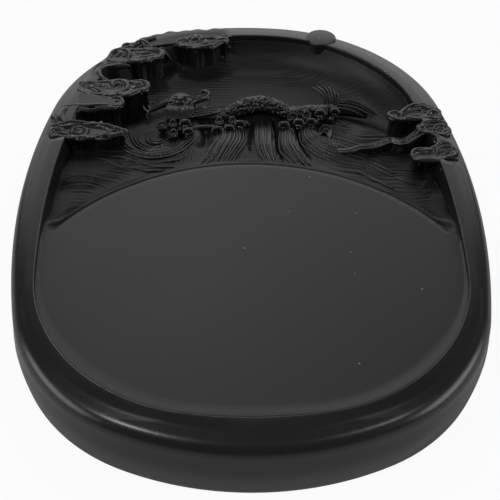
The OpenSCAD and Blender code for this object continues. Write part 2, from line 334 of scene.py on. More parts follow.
def carve(name, parts, voxel, softening, *nodes):
    """One carved piece made of overlapping parts."""
    finish_piece(fuse(name, parts, voxel, softening), CARVED, "carved_stone", *nodes)


# Clouds: runs of round lobes (x, y, radius), each blended into the next

LEFT_LOW = [(-66.5, 26.4, 3.2), (-62, 26.6, 4.2), (-57, 26.8, 4.6), (-52, 27, 4.6), (-48, 26.4, 2.5),
            (-44.2, 26, 1.6)]
LEFT_MIDDLE = [(-60.8, 45.6, 4.2), (-57, 44.7, 3.4), (-52.4, 44.2, 2.7), (-48.4, 43.6, 2.7)]
LEFT_HIGH = [(-58.4, 52.6, 4.3), (-53.5, 52.3, 4.7), (-48, 52.8, 5.3), (-42.5, 53, 4.1), (-38.9, 53.8, 2.8)]
LEFT_UPPER = [(-49.6, 73.6, 4.6), (-45.5, 74.6, 5), (-40.5, 75.4, 4.6), (-36.6, 75.8, 3.6),
              (-34.8, 75.6, 2.6)]
LEFT_BACK = [(-23.5, 84.6, 3.8), (-20, 84.6, 4.9), (-15, 84.8, 3.9), (-11, 86.2, 2.4), (-8.4, 86.2, 1.8)]
RIGHT_HIGH = [(67, 36.4, 3.2), (62, 37.4, 4.7), (58, 36.4, 3.6), (55, 35, 2.4), (52.4, 35, 2.1)]
RIGHT_MIDDLE = [(67.8, 27, 3.4), (63.8, 27.4, 2.8), (60.8, 27.8, 2)]
RIGHT_LOW = [(68, 14, 3.6), (64, 13.5, 3.4), (60, 13, 3.2), (57.4, 12.9, 3)]
RIM_CLOUDS = [LEFT_LOW, LEFT_HIGH, LEFT_UPPER, LEFT_BACK, RIGHT_HIGH, RIGHT_MIDDLE, RIGHT_LOW]
# Stretch of the rim behind the upper and the back cloud, carved flat and leaning inwards
CARVED_RIM = (-58, -51, -10, -5)
# Radius of a cloud's rolled lip, which lies that far inside its edge and below the crest
LIP = 0.95


def spine(lobes, steps=10):
    """The run's middle line and radius at even steps between its lobes."""
    lobes = np.array(lobes, float)
    knots = np.arange(len(lobes))
    at = np.linspace(0, len(lobes) - 1, (len(lobes) - 1)*steps + 1)
    run = np.column_stack([np.interp(at, knots, lobes[:, k]) for k in range(3)])
    for _ in range(steps//2):
        run[1:-1] = (run[:-2] + 2*run[1:-1] + run[2:])/4
    return run


def run_distance(lobes, x, y):
    """Distance outside a run of lobes, negative inside it."""
    best = np.full(np.shape(x), 1e9)
    for px, py, radius in spine(lobes):
        best = np.minimum(best, np.hypot(x - px, y - py) - radius)
    return best


def tongue_rays(lobes, caps=14):
    """Foot, direction and length of the rays from a run's middle line to its outline, all the way round."""
    run = spine(lobes)
    along = np.gradient(run[:, :2], axis=0)
    along /= np.linalg.norm(along, axis=1)[:, None]
    left = np.column_stack([-along[:, 1], along[:, 0]])
    rays = [(*run[k, :2], *left[k], run[k, 2]) for k in range(len(run))]
    for k in range(1, caps):
        a = math.pi*k/caps
        rays.append((*run[-1, :2], *(math.cos(a)*left[-1] + math.sin(a)*along[-1]), run[-1, 2]))
    rays += [(*run[k, :2], *-left[k], run[k, 2]) for k in range(len(run) - 1, -1, -1)]
    for k in range(1, caps):
        a = math.pi*k/caps
        rays.append((*run[0, :2], *(-math.cos(a)*left[0] - math.sin(a)*along[0]), run[0, 2]))
    rays = np.array(rays)[::-1]
    return rays[:, :2], rays[:, 2:4], rays[:, 4]


# Section of a tongue: its dish (share of the reach, share of the dish's depth), its lip (share of the reach,
# drop) and its wall (drop, inset, depth of the flutes)
TONGUE_DISH = [(0.02, 1), (0.25, 0.93), (0.45, 0.72), (0.6, 0.45), (0.74, 0.16)]
TONGUE_LIP = [(0.84, 0), (0.9, 0), (0.95, 0.12), (0.985, 0.4), (1, 0.8)]
TONGUE_WALL = [(1.3, 0.05, 0), (1.9, 0.5, 0.03), (2.8, 0.9, 0.08), (4.5, 1, 0.15), (7, 0.9, 0.18),
               (9.5, 0.5, 0.15)]
FLUTE = 2.6


def tongue(name, lobes, dish=0.8, top=CREST, waver=0.4):
    """A cloud tongue: a dished top inside a rolled lip, an overhang and a fluted wall below it."""
    feet, out, reach = tongue_rays(lobes)
    edge = feet + out*reach[:, None]
    step = np.linalg.norm(edge - np.roll(edge, 1, axis=0), axis=1)
    walk = np.cumsum(step)
    turns = max(3, round(walk[-1]/7))
    reach = reach + waver*np.sin(2*math.pi*turns*walk/walk[-1])
    flutes = max(8, round(walk[-1]/FLUTE))
    flute = np.cos(2*math.pi*flutes*walk/walk[-1])
    rings = []
    for share, drop in [(share, deep*dish) for share, deep in TONGUE_DISH] + TONGUE_LIP:
        rings.append(ring(feet + out*(reach*share)[:, None], top - drop))
    for drop, inset, depth in TONGUE_WALL + [(top - POOL + 0.5, 0.1, 0.1)]:
        rings.append(ring(feet + out*(reach - inset + depth*flute)[:, None], top - drop))
    return wrapped_skin(name, rings[::-1])


def ridge(z, thick, *points):
    """A ridge through plan points at one height, tapering at both ends."""
    last = len(points) - 1
    return [(x, y, z - 0.3, 1.5*thick*(0.45 if k in (0, last) else 1 + 0.15*math.sin(2.7*k + x)))
            for k, (x, y) in enumerate(points)]


def rolled_lip(lobes, seed):
    """A thick uneven roll round a tongue's edge."""
    rng = np.random.default_rng(seed)
    feet, out, reach = tongue_rays(lobes)
    line = feet + out*(reach - LIP)[:, None]
    path = []
    for k in np.linspace(0, len(line), 46, endpoint=False).astype(int):
        path.append((line[k, 0] + rng.uniform(-0.2, 0.2), line[k, 1] + rng.uniform(-0.2, 0.2),
                     CREST - LIP + rng.uniform(-0.12, 0.12), LIP*rng.uniform(0.78, 1.18)))
    return path + path[:2]


def drips(lobes, count, seed):
    """Uneven drops that hang under the front lip of a tongue."""
    rng = np.random.default_rng(seed)
    feet, out, reach = tongue_rays(lobes)
    edge = feet + out*(reach - 0.1)[:, None]
    facing = np.flatnonzero(out[:, 1] < -0.4)
    drops = []
    for k in np.linspace(0, len(facing) - 1, count):
        x, y = edge[facing[min(len(facing) - 1, max(0, int(k + rng.uniform(-2, 2))))]]
        wide = rng.uniform(0.38, 0.75)
        z = CREST - 1.9 - rng.uniform(0, 0.5)
        drops.append(lump(x, y, z, (wide, 0.8*wide, rng.uniform(0.5, 1.15)), rings=6))
    return drops


# The shell: foot, wall, shoulder, rim and the wall of the pocket

# The wall leans in by this much and ends this far below the crest, where the rounded shoulder begins
WALL_LEAN, SHOULDER_DROP = 0.5, 5.2
# The pocket's wall comes in by this share of its depth
POCKET_SLOPE = 0.13


def shell_profile():
    """The rim's section, from the underside round to the floor: share of its width, distance out, height."""
    foot, wall_top, roll = 2.0, CREST - SHOULDER_DROP, 4.2
    section = []
    for a in np.linspace(0, 90, 7):
        a = math.radians(a)
        section.append((0, -foot + foot*math.sin(a), foot - foot*math.cos(a)))
    for z in np.linspace(foot + 1.5, wall_top, 7):
        bulge = 0.35*math.sin(math.pi*(z - foot)/(wall_top - foot))
        lean = WALL_LEAN*smooth(9, wall_top, z)
        section.append((0, bulge - lean, z))
    rise = CREST - 1.0 - wall_top
    for a in np.linspace(9, 78, 9):
        a = math.radians(a)
        section.append((0, -WALL_LEAN - roll*(1 - math.cos(a)), wall_top + rise*math.sin(a)))
    shares = (0.52, 0.62, 0.76, 0.88, 0.955, 0.985, 1.0)
    drops = (0.72, 0.42, 0.2, 0.06, 0.01, 0.1, 0.32)
    for share in [*np.linspace(0.52, 0.94, 12), 0.955, 0.97, 0.985, 1.0]:
        section.append((share, 0, CREST - np.interp(share, shares, drops)))
    for z in (CREST - 0.7, CREST - 2, CREST - 5, CREST - 8, POOL + 0.4, POOL - 1, BASE):
        section.append((1.0, 0.05 - POCKET_SLOPE*(CREST - z), z))
    return section


def stone_shell():
    """The shell as one skin, its rim carved behind two clouds and sunk a little under the clouds on it."""
    sink_depth = 1.6
    x, y = OUTER.T
    walk = np.cumsum(np.linalg.norm(OUTER - np.roll(OUTER, 1, axis=0), axis=1))
    carved = smooth(*CARVED_RIM[:2], x)*smooth(*CARVED_RIM[:1:-1], x)*(y > 0)
    square = smooth(-14, -40, x)
    bumps = 0.35*wave(walk, 6.3) + 0.3*wave(walk, 10.7, 1)
    rings = []
    for share, out, z in shell_profile():
        base = OUTER*(1 - share) + CARVED_WALL*share
        normal = OUTER_OUT if share < 0.5 else POCKET_OUT
        shoulder = share == 0 and z > CREST - 5
        reach, height = np.full(len(x), float(out)), np.full(len(x), float(z))
        if shoulder:
            # carved, the shoulder is squarer, higher and bumpy
            up = (z - CREST + SHOULDER_DROP)/4.1
            reach += carved*(square*0.62*(-WALL_LEAN - out) + bumps*up)
            height += carved*square*0.7*up**2
        elif z > CREST - 1:
            height += carved*(CREST - 0.45 - 0.1*(1 - square) - 1.15*share - z)
        plan = base + normal*reach[:, None]
        if z > CREST - 2.5:
            inside = np.min([run_distance(lobes, plan[:, 0], plan[:, 1]) for lobes in RIM_CLOUDS], axis=0)
            height -= sink_depth*smooth(-0.5, -1.6, inside)
        rings.append(ring(plan, height))
    piece = finish_piece(wrapped_skin("stone_shell", rings), POLISHED, "polished_stone", "stone_body")
    # the pocket's wall takes the pool's rougher stone, whose darker colour there is painted shade
    piece.data.materials.append(FLOOR)
    for face in piece.data.polygons:
        x, y, z = np.array(face.center)/MM
        if BASE < z < CREST - 0.9 and np.hypot(*(CARVED_WALL - (x, y)).T).min() < 2.4:
            face.material_index = 1


# The grinding surface, with the fillet that climbs to the rim

def edge_tail(x):
    """How far the far edge runs outside its arc at its two ends, where it turns level to meet the wall."""
    return EDGE_TAIL*smooth(TAIL_START, TAIL_END, np.abs(x))


def past_edge(x, y):
    """Distance beyond the grinding surface's far edge."""
    return np.hypot(x - GRIND_MIDDLE[0], y - GRIND_MIDDLE[1]) - GRIND_R - edge_tail(x)


def grinding_outline():
    """The pocket's outline in front of the far edge, then the far edge's arc, anticlockwise."""
    inside = past_edge(*POCKET.T) <= 0
    front = POCKET[inside]
    front_out = POCKET_OUT[inside]
    start = np.argmax(front[:, 1] == front[front[:, 0] < 0, 1].max())
    front, front_out = np.roll(front, -start, axis=0), np.roll(front_out, -start, axis=0)
    a0 = math.atan2(*(front[-1] - GRIND_MIDDLE)[::-1])
    a1 = math.atan2(*(front[0] - GRIND_MIDDLE)[::-1])
    angles = np.linspace(a0, a1, 160)[1:-1]
    arc_out = np.column_stack([np.cos(angles), np.sin(angles)])
    radius = GRIND_R + edge_tail(GRIND_MIDDLE[0] + GRIND_R*np.cos(angles))
    return front, front_out, GRIND_MIDDLE + radius[:, None]*arc_out, arc_out


def grinding_face():
    """The flat grinding surface, rounded over at the far edge and climbing to the rim all round its front."""
    front, front_out, arc, arc_out = grinding_outline()
    points = np.vstack([front, arc])
    out = np.vstack([front_out, arc_out])
    is_arc = np.concatenate([np.zeros(len(front)), np.ones(len(arc))])
    frontness = smooth(-35, -84, points[:, 1])*(1 - is_arc)
    corners = [np.hypot(*(points - end).T) for end in (front[0], front[-1])]
    open_up = smooth(0, 5, np.minimum(*corners))
    width = 0.12 + open_up*((1.0 + 3.4*frontness)*(1 - is_arc) + EDGE_ROLL*is_arc)
    height = (0.55 + 1.0*frontness)*(1 - is_arc)*open_up
    rings = []
    for z in (BASE, GRIND - 3.0):
        rings.append(ring(points + out*(0.3*(1 - is_arc))[:, None], z))
    for s in np.linspace(0, 1, 9):
        # along the arc the edge is rounded over, elsewhere it climbs the rim's wall
        drop = is_arc*open_up*0.7*(1 - s)**2.2
        inset = width*s - 0.12*(1 - is_arc)
        climb = height*(1 - s)**2
        rings.append(ring(points - out*inset[:, None], GRIND + climb - drop))
    rings.append(ring(points - out*(width + 0.05 + 0.55*open_up)[:, None], GRIND))
    finish_piece(wrapped_skin("grinding_face", rings), HONED, "honed_stone", "grinding_platform")


# Sheaves of wave strands: the guides (x, y) of the left and the right edge, from the foam down to the
# grinding surface, and the number and thickness of the strands

SHEAVES = {
    "fan": ([(-12.4, 33), (-13, 26.7), (-14.7, 21.7), (-16.4, 16.7), (-18.6, 12.2)],
            [(-0.8, 33), (-0.9, 28), (-2, 22.5), (-3.4, 17.5), (-5.2, 12.6)], 12, 0.55),
    "stream": ([(3, 41.5), (2, 32), (2.4, 25), (3.8, 18.5), (5.4, 12.6)],
               [(7.8, 41.5), (9, 32), (9.7, 25), (9.9, 18.5), (10.4, 12.4)], 8, 0.52),
    "sweep": ([(10.8, 33), (10.6, 27), (11.3, 22), (13, 17), (15, 12.2)],
              [(17.4, 33), (17.8, 27), (18.6, 22), (20.6, 17), (23, 11.4)], 8, 0.55),
    "fall": ([(18, 33), (18.8, 27), (21, 21.5), (25, 17), (30, 14.2)],
             [(25.4, 34.5), (27.6, 29.6), (31.4, 26), (36, 23.6), (41.4, 21.8)], 9, 0.48),
}
SWIRL_X, SWIRL_Y = -32.5, 34.0
SWIRL_LONG, SWIRL_DEEP = 15.6, 18.4


def swirl_reach(x, y):
    """Distance from the swirl's middle as a share of its outer edge."""
    return np.hypot((x - SWIRL_X)/SWIRL_LONG, (y - SWIRL_Y)/SWIRL_DEEP)


def across_sheaf(name, x, y):
    """How far across a sheaf a place lies, from 0 at its left edge to 1 at its right."""
    edges = []
    for guide in SHEAVES[name][:2]:
        guide = np.array(guide[::-1], float)
        edges.append(np.interp(y, guide[:, 1], guide[:, 0]))
    return (x - edges[0])/(edges[1] - edges[0])


# Dark clefts between the sheaves: middle line (x, y), half width, depth
CLEFTS = [([(3, 44), (1.6, 38), (1.0, 32), (0.4, 26), (0.6, 22)], 0.55, 1.1),
          ([(9.4, 40), (9.7, 34), (10.2, 28), (10.8, 22), (12, 16)], 0.5, 1.2),
          ([(-15.5, 38), (-15, 32), (-15, 27), (-17, 24)], 1.6, 1.6),
          ([(17.6, 34), (18.2, 28), (19.2, 22), (21.4, 17)], 0.5, 1.0)]


# Heights on the bed in millimetres: the sheaves' rounded banks, the groove along the far edge, the swirl's
# raised ring and its bowl, and the bank under the dragon's arch
SHEAF_BANK, EDGE_GROOVE, SWIRL_RING, SWIRL_BOWL, ARCH_BANK = 1.7, 1.3, 0.9, 1.7, 1.2


def bed_height(x, y):
    """Height of the carved bed, falling from the grinding surface to the ink pool."""
    x, y = np.asarray(x, float), np.asarray(y, float)
    reach = past_edge(x, y)
    side = smooth(30, 56, np.abs(x))
    slope = (GRIND - 1.5) - 2.2*smooth(0, 7, reach) - smooth(5, 40, reach)*(2.2 - 0.6*side)
    # in its two front corners the bed is level with the grinding surface
    corner = smooth(57, 63, np.abs(x))*smooth(-10, -21, y)
    slope = slope*(1 - corner) + (GRIND - 0.1)*corner
    slope = slope - EDGE_GROOVE*hump(reach - 1.5, 1)*smooth(63.4, 61.8, np.abs(x))
    for name in SHEAVES:
        u = np.clip(across_sheaf(name, x, y), 0, 1)
        rounded = np.sqrt(np.clip(np.sin(math.pi*u), 0, 1))
        slope = slope + SHEAF_BANK*rounded*smooth(12, 24, y)*smooth(43, 33, y)
    for line, half_width, depth in CLEFTS:
        line = np.array(line[::-1], float)
        off = x - np.interp(y, line[:, 1], line[:, 0])
        run = smooth(line[0, 1] - 3, line[0, 1] + 3, y)*smooth(44, 39, y)
        slope = slope - depth*hump(off, half_width)*run
    d = swirl_reach(x, y)
    round_it = smooth(-54, -42, x)*smooth(-13, -17, x)*smooth(47, 36, y)
    slope = slope + round_it*(SWIRL_RING*hump(d - 0.92, 0.2) - SWIRL_BOWL*smooth(0.9, 0.3, d))
    slope = slope + ARCH_BANK*hump(x - 6, 6.5)*smooth(37, 45, y)
    pool = smooth(35, 47, reach + 3*side)
    return slope*(1 - pool) + POOL*pool


# Ripples: the length of the main and of the finer ones in each channel and in the pool, the length of the
# grooves between the channels, and their heights
LEFT_RIPPLES, RIGHT_RIPPLES, POOL_RIPPLES, GROOVES = (1.85, 1.13), (1.75, 1.07), (1.9, 1.17), 1.4
RIPPLE_HEIGHT, POOL_RIPPLE_HEIGHT, GROOVE_HEIGHT = 0.2, 0.08, 0.12


def ripple(x, y):
    """Low carved ripples: long lines in the side channels and faint ones on the pool's floor."""
    reach = past_edge(x, y)
    left = smooth(-28, -36, x)*smooth(44, 34, y)*smooth(0.8, 1.05, swirl_reach(x, y))
    right = smooth(24, 30, x)*smooth(48, 38, y)
    sway = 1.5*uneven(x, y, 24, 3) + 0.5*uneven(x, y, 9, 4)
    left_line = y + 6*smooth(-60, -38, x) + sway
    right_line = y + 9*smooth(22, 50, x) - 1.8*smooth(52, 64, x) + sway
    strength = np.clip(0.75 + 0.6*uneven(x, y, 14, 5), 0.1, 1.3)
    main, finer = [left*wave(left_line, LEFT_RIPPLES[k]) + right*wave(right_line, RIGHT_RIPPLES[k])
                   for k in (0, 1)]
    fade = smooth(2, 4.5, reach)*(1 - smooth(57, 62, np.abs(x))*smooth(6, -6, y))
    far = smooth(36, 48, reach)
    pool_line = y + 1.5*np.sin(0.09*x + 0.6) + 1.2*uneven(x, y, 36, 7)
    faint = np.clip(0.4 + 0.7*uneven(x, y, 17, 8), 0, 1.2)
    streaks = wave(pool_line, POOL_RIPPLES[0]) + 0.6*wave(pool_line, POOL_RIPPLES[1], 1)
    between = smooth(4, 9, reach)*(1 - left - right).clip(0, 1)*smooth(33, 29, y)*smooth(30, 24, np.abs(x))
    grooves = GROOVE_HEIGHT*wave(x + 2.5*uneven(x, y, 15, 9), GROOVES)
    return (RIPPLE_HEIGHT*strength*(main + 0.5*finer)*fade + POOL_RIPPLE_HEIGHT*far*faint*streaks
            + between*grooves)


# Radius and height of the bend from the pool's floor into the far wall, and points of the bed's grid
BOWL_R, BOWL_TOP = 13.0, 9
BED_COLUMNS, BED_ROWS = 320, 270


def bed():
    """The carved floor of the pocket, which bends up into the far wall, as a closed block."""
    columns = np.linspace(-POCKET_HALF_W + 0.15, POCKET_HALF_W - 0.15, BED_COLUMNS)
    back_half = POCKET[POCKET[:, 1] > -12]
    order = np.argsort(back_half[:, 0])
    back = np.interp(columns, back_half[order, 0], back_half[order, 1])
    near = GRIND_MIDDLE[1] + np.sqrt(GRIND_R**2 - (columns - GRIND_MIDDLE[0])**2) - 0.6
    rows = []
    for t in np.linspace(0, 1, BED_ROWS):
        y = near + (back + 4.5 - near)*t
        wall = np.hypot(columns[:, None] - POCKET[:, 0], y[:, None] - POCKET[:, 1]).min(axis=1)
        bowl = BOWL_R - np.sqrt(BOWL_R**2 - np.clip(BOWL_R - wall, 0, BOWL_R)**2)
        bowl = np.minimum(bowl, BOWL_TOP)*smooth(20, 50, y)*(0.2 + 0.8*smooth(-34, 0, columns))
        rows.append(np.column_stack([columns, y, bed_height(columns, y) + bowl + ripple(columns, y)]))
    piece = grid_piece("carved_bed", np.array(rows))
    bpy.ops.object.mode_set(mode="EDIT")
    bpy.ops.mesh.select_all(action="SELECT")
    bpy.ops.mesh.region_to_loop()
    bpy.ops.mesh.extrude_edges_move(TRANSFORM_OT_translate={"value": (0, 0, -4*MM)})
    bpy.ops.object.mode_set(mode="OBJECT")
    for vertex in piece.data.vertices:
        if vertex.select:
            vertex.co.z = BASE*MM
    bpy.ops.object.mode_set(mode="EDIT")
    bpy.ops.mesh.edge_face_add()
    bpy.ops.mesh.select_all(action="SELECT")
    bpy.ops.mesh.normals_make_consistent(inside=False)
    bpy.ops.object.mode_set(mode="OBJECT")
    finish_piece(piece, FLOOR, "carved_stone", "pool_floor", "wave_bank", angle=50)


# Waves: sheaves of strands that run down from the foam, and the swirl's arcs

def on_bed(x, y, lift):
    return float(bed_height(x, y)) + lift


def far_edge(x, beyond):
    """How far back a place lies that is this far beyond the grinding surface's edge."""
    return GRIND_MIDDLE[1] + math.sqrt((GRIND_R + beyond)**2 - (x - GRIND_MIDDLE[0])**2)


# A strand's thickness and how deep it sinks at each guide point
TAPER, SINK = (0.75, 1, 1.05, 0.85, 0.35), (0, 0, 0, 0.05, 0.3)


def sheaf_paths(name, seed):
    """Strands side by side between a sheaf's two guides, uneven in thickness, sway and length."""
    rng = np.random.default_rng(seed)
    left, right, count, thick = SHEAVES[name]
    left, right = np.array(left, float), np.array(right, float)
    paths = []
    for k in range(count):
        u = (k + 0.5 + rng.uniform(-0.2, 0.2))/count
        line = left*(1 - u) + right*u
        if name != "fall":
            line[-1, 1] = far_edge(line[-1, 0], rng.uniform(1.6, 4.2))
        line[:, 0] += (0.5 + 0.3*u)*np.sin(np.array((0, 1.5, 3, 4.6, 5.6)) + 0.9*seed)
        size, lift = thick*rng.uniform(0.7, 1.2), rng.uniform(-0.3, 0.1)
        path = []
        for j, (x, y) in enumerate(line):
            path.append((x + rng.uniform(-0.25, 0.25), y, on_bed(x, y, lift - SINK[j]), size*TAPER[j]))
        paths.append(path)
    return paths


def swirl_paths():
    """Arcs of the swirling wave, from the left over the bottom and up to the foam on the right."""
    rng = np.random.default_rng(21)
    paths = []
    for k in range(10):
        share = 0.2 + 0.084*k
        start, end = 184 + rng.uniform(-16, 22), 356 - 1.2*k + rng.uniform(-8, 4)
        if k % 4 == 2:
            start = 246 + rng.uniform(-14, 14)
        size = rng.uniform(0.34, 0.5)
        path = []
        for a in np.linspace(math.radians(start), math.radians(end), 10):
            sway = 0.25*math.sin(5*a + k)
            x = SWIRL_X + (SWIRL_LONG*share + sway)*math.cos(a)
            y = SWIRL_Y + (SWIRL_DEEP*share + sway)*math.sin(a)
            ends = math.sin(math.pi*(a - math.radians(start))/math.radians(end - start))
            faint = 0.65 + 0.35*smooth(220, 265, math.degrees(a))
            path.append((x, y, on_bed(x, y, 0.16 + 0.08*faint), 0.14 + size*faint*max(0, ends)**0.5))
        paths.append(path)
    return paths


# Loose bright strands beside the sheaves, each (x, y) from left to right
LOOSE = [[(-52.5, 18.6), (-48, 17.2), (-43.8, 13.6)], [(-50.4, 16.6), (-46.6, 15.2), (-42.4, 12.2)],
         [(-47.6, 19.6), (-43.6, 18.6), (-39, 15.6)], [(-39.6, 12.4), (-34.6, 10.6), (-28.4, 10.2)],
         [(-36.4, 14.4), (-31.4, 12.4), (-25.4, 12.4)], [(-29.6, 14.8), (-25.6, 15.4), (-21.6, 18.2)],
         [(43.2, 15.2), (46.2, 12.2), (49.6, 9.4)], [(41.6, 13.8), (45, 10.6), (48.6, 7.8)],
         [(39.4, 7.2), (43.6, 4.4), (48, 1.2)], [(36.6, 9.8), (41.2, 6.8), (46.2, 3.4)],
         [(30.2, 21.4), (34.4, 18.6), (39.4, 16.4)], [(32.4, 23.4), (36.6, 20.6), (41.6, 18.6)],
         [(50.6, 6.4), (53.6, 4.2), (56.2, 3.2)]]


def waves():
    paths = []
    for seed, name in enumerate(SHEAVES):
        paths += sheaf_paths(name, seed)
    for line in LOOSE:
        paths.append([(x, y, on_bed(x, y, 0.1), 0.5 if k == 1 else 0.22) for k, (x, y) in enumerate(line)])
    finish_piece(strands("wave_sheaves", paths), CARVED, "carved_stone")
    finish_piece(strands("wave_swirl_arcs", swirl_paths()), CARVED, "carved_stone", "wave_swirl")


# Foam: each curl's place (x, y, z) and kind

FOAM = {
    "foam_curls_left": [(-30.8, 35.6, 15.6, "hook"), (-26.9, 35.7, 16.3, "ring"), (-22.5, 35.3, 16.4, "cap"),
                        (-24.3, 33.2, 16, "ball"), (-26.5, 30.6, 15.8, "ring"), (-21.3, 31.2, 16, "cap")],
    "foam_curls_middle": [(-10.2, 36.6, 16.6, "ring"), (-5.4, 37, 16.7, "ring"), (-10.9, 31.8, 16, "cap"),
                          (-6.6, 32.5, 16.2, "cap"), (-2.8, 34.6, 16.5, "cap"), (-7.9, 35.1, 15.8, "ball"),
                          (-0.4, 37.4, 15.8, "ball")],
    "foam_curls_right": [(13.1, 34.2, 16.3, "cap"), (18.4, 35.4, 16.5, "cap"), (22.9, 36, 16.5, "cap"),
                         (21.5, 39.2, 17.3, "ring"), (26.5, 40.3, 17, "cap"), (32.1, 42.3, 16.5, "cap"),
                         (16.4, 38.8, 17, "hook"), (30.4, 39.6, 15.8, "ball"), (24.8, 38.4, 15.8, "ball"),
                         (15.8, 33.2, 15.4, "ball")],
}
FOAM_NODES = {"foam_curls_left": "foam_left", "foam_curls_middle": "foam_middle",
              "foam_curls_right": "foam_right"}
# The tall curl of nested arcs at the end of the right row: its middle and its line
END_CURL_X, END_CURL_Y = 28, 32.6
END_CURL = [(25.7, 29.4), (25.6, 33.4), (27, 37.2), (29, 38), (30.4, 35.6), (30, 31.6), (28.8, 28.6)]
# Bright tops lean to the back, where the key light is, as degrees about each axis
LEAN = (-9, 0, 0)


def foam_arc(x, y, z, wide, tall, start, end, thick):
    """An arc that faces the front and the sky, thickest in its middle, angles in degrees from the right."""
    path = []
    for k in range(9):
        a = math.radians(start + (end - start)*k/8)
        up = tall*math.sin(a)
        path.append((x + wide*math.cos(a), y + 0.62*up, z + 0.72*up, thick*(0.6 + 0.4*math.sin(math.pi*k/8))))
    return path


def foam():
    """Foam: rings, hooks and caps, each over one or two small balls."""
    rng = np.random.default_rng(4)
    for group, places in FOAM.items():
        paths, parts = [], []
        for x, y, z, kind in places:
            size = rng.uniform(0.9, 1.12)
            if kind == "ring":
                paths.append(foam_arc(x, y, z, 1.15*size, 1.5*size, 240, -70, 0.58))
                parts.append(lump(x, y + 0.95*size, z + 1.3*size, (1.05, 0.62, 0.42), LEAN, 8))
                parts.append(lump(x + 0.1, y - 0.5, z - 0.3, 0.62, rings=6))
            elif kind == "hook":
                paths.append(foam_arc(x, y, z, 1.6*size, 1.6*size, 190, -40, 0.55))
                parts.append(lump(x - 0.3, y - 0.6, z - 0.4, 0.55, rings=6))
            elif kind == "cap":
                paths.append(foam_arc(x, y + 0.2, z, 1.6*size, 1.15*size, 200, -20, 0.88))
                parts.append(lump(x, y + 0.85*size, z + 1.2*size, (1.8*size, 0.85, 0.5), LEAN, 8))
                parts.append(lump(x - 0.6, y - 1.3, z - 0.9, 0.6, rings=6))
                parts.append(lump(x + 0.8, y - 1.2, z - 0.8, 0.5, rings=6))
            else:
                parts.append(lump(x, y, z, 0.95*size, rings=8))
            parts.append(lump(x, y + 0.8, z - 1.7, (1.8, 1.4, 1.6), rings=8))
        if group == "foam_curls_right":
            for scale in (1, 0.6, 0.22):
                paths.append([(END_CURL_X + (x - END_CURL_X)*scale, END_CURL_Y + (y - END_CURL_Y)*scale,
                               on_bed(x, y, 0.45), 0.46) for x, y in END_CURL])
        parts.append(strands(group, paths))
        carve(group, parts[::-1], SMALL_VOXEL, 1, FOAM_NODES[group])


# The carved clouds: lip is the seed of the rolled lip and drops the number of drops below it and their seed.
# A line is a ridge (height, thickness, plan points) or, in square brackets, a strand (x, y, z, radius).

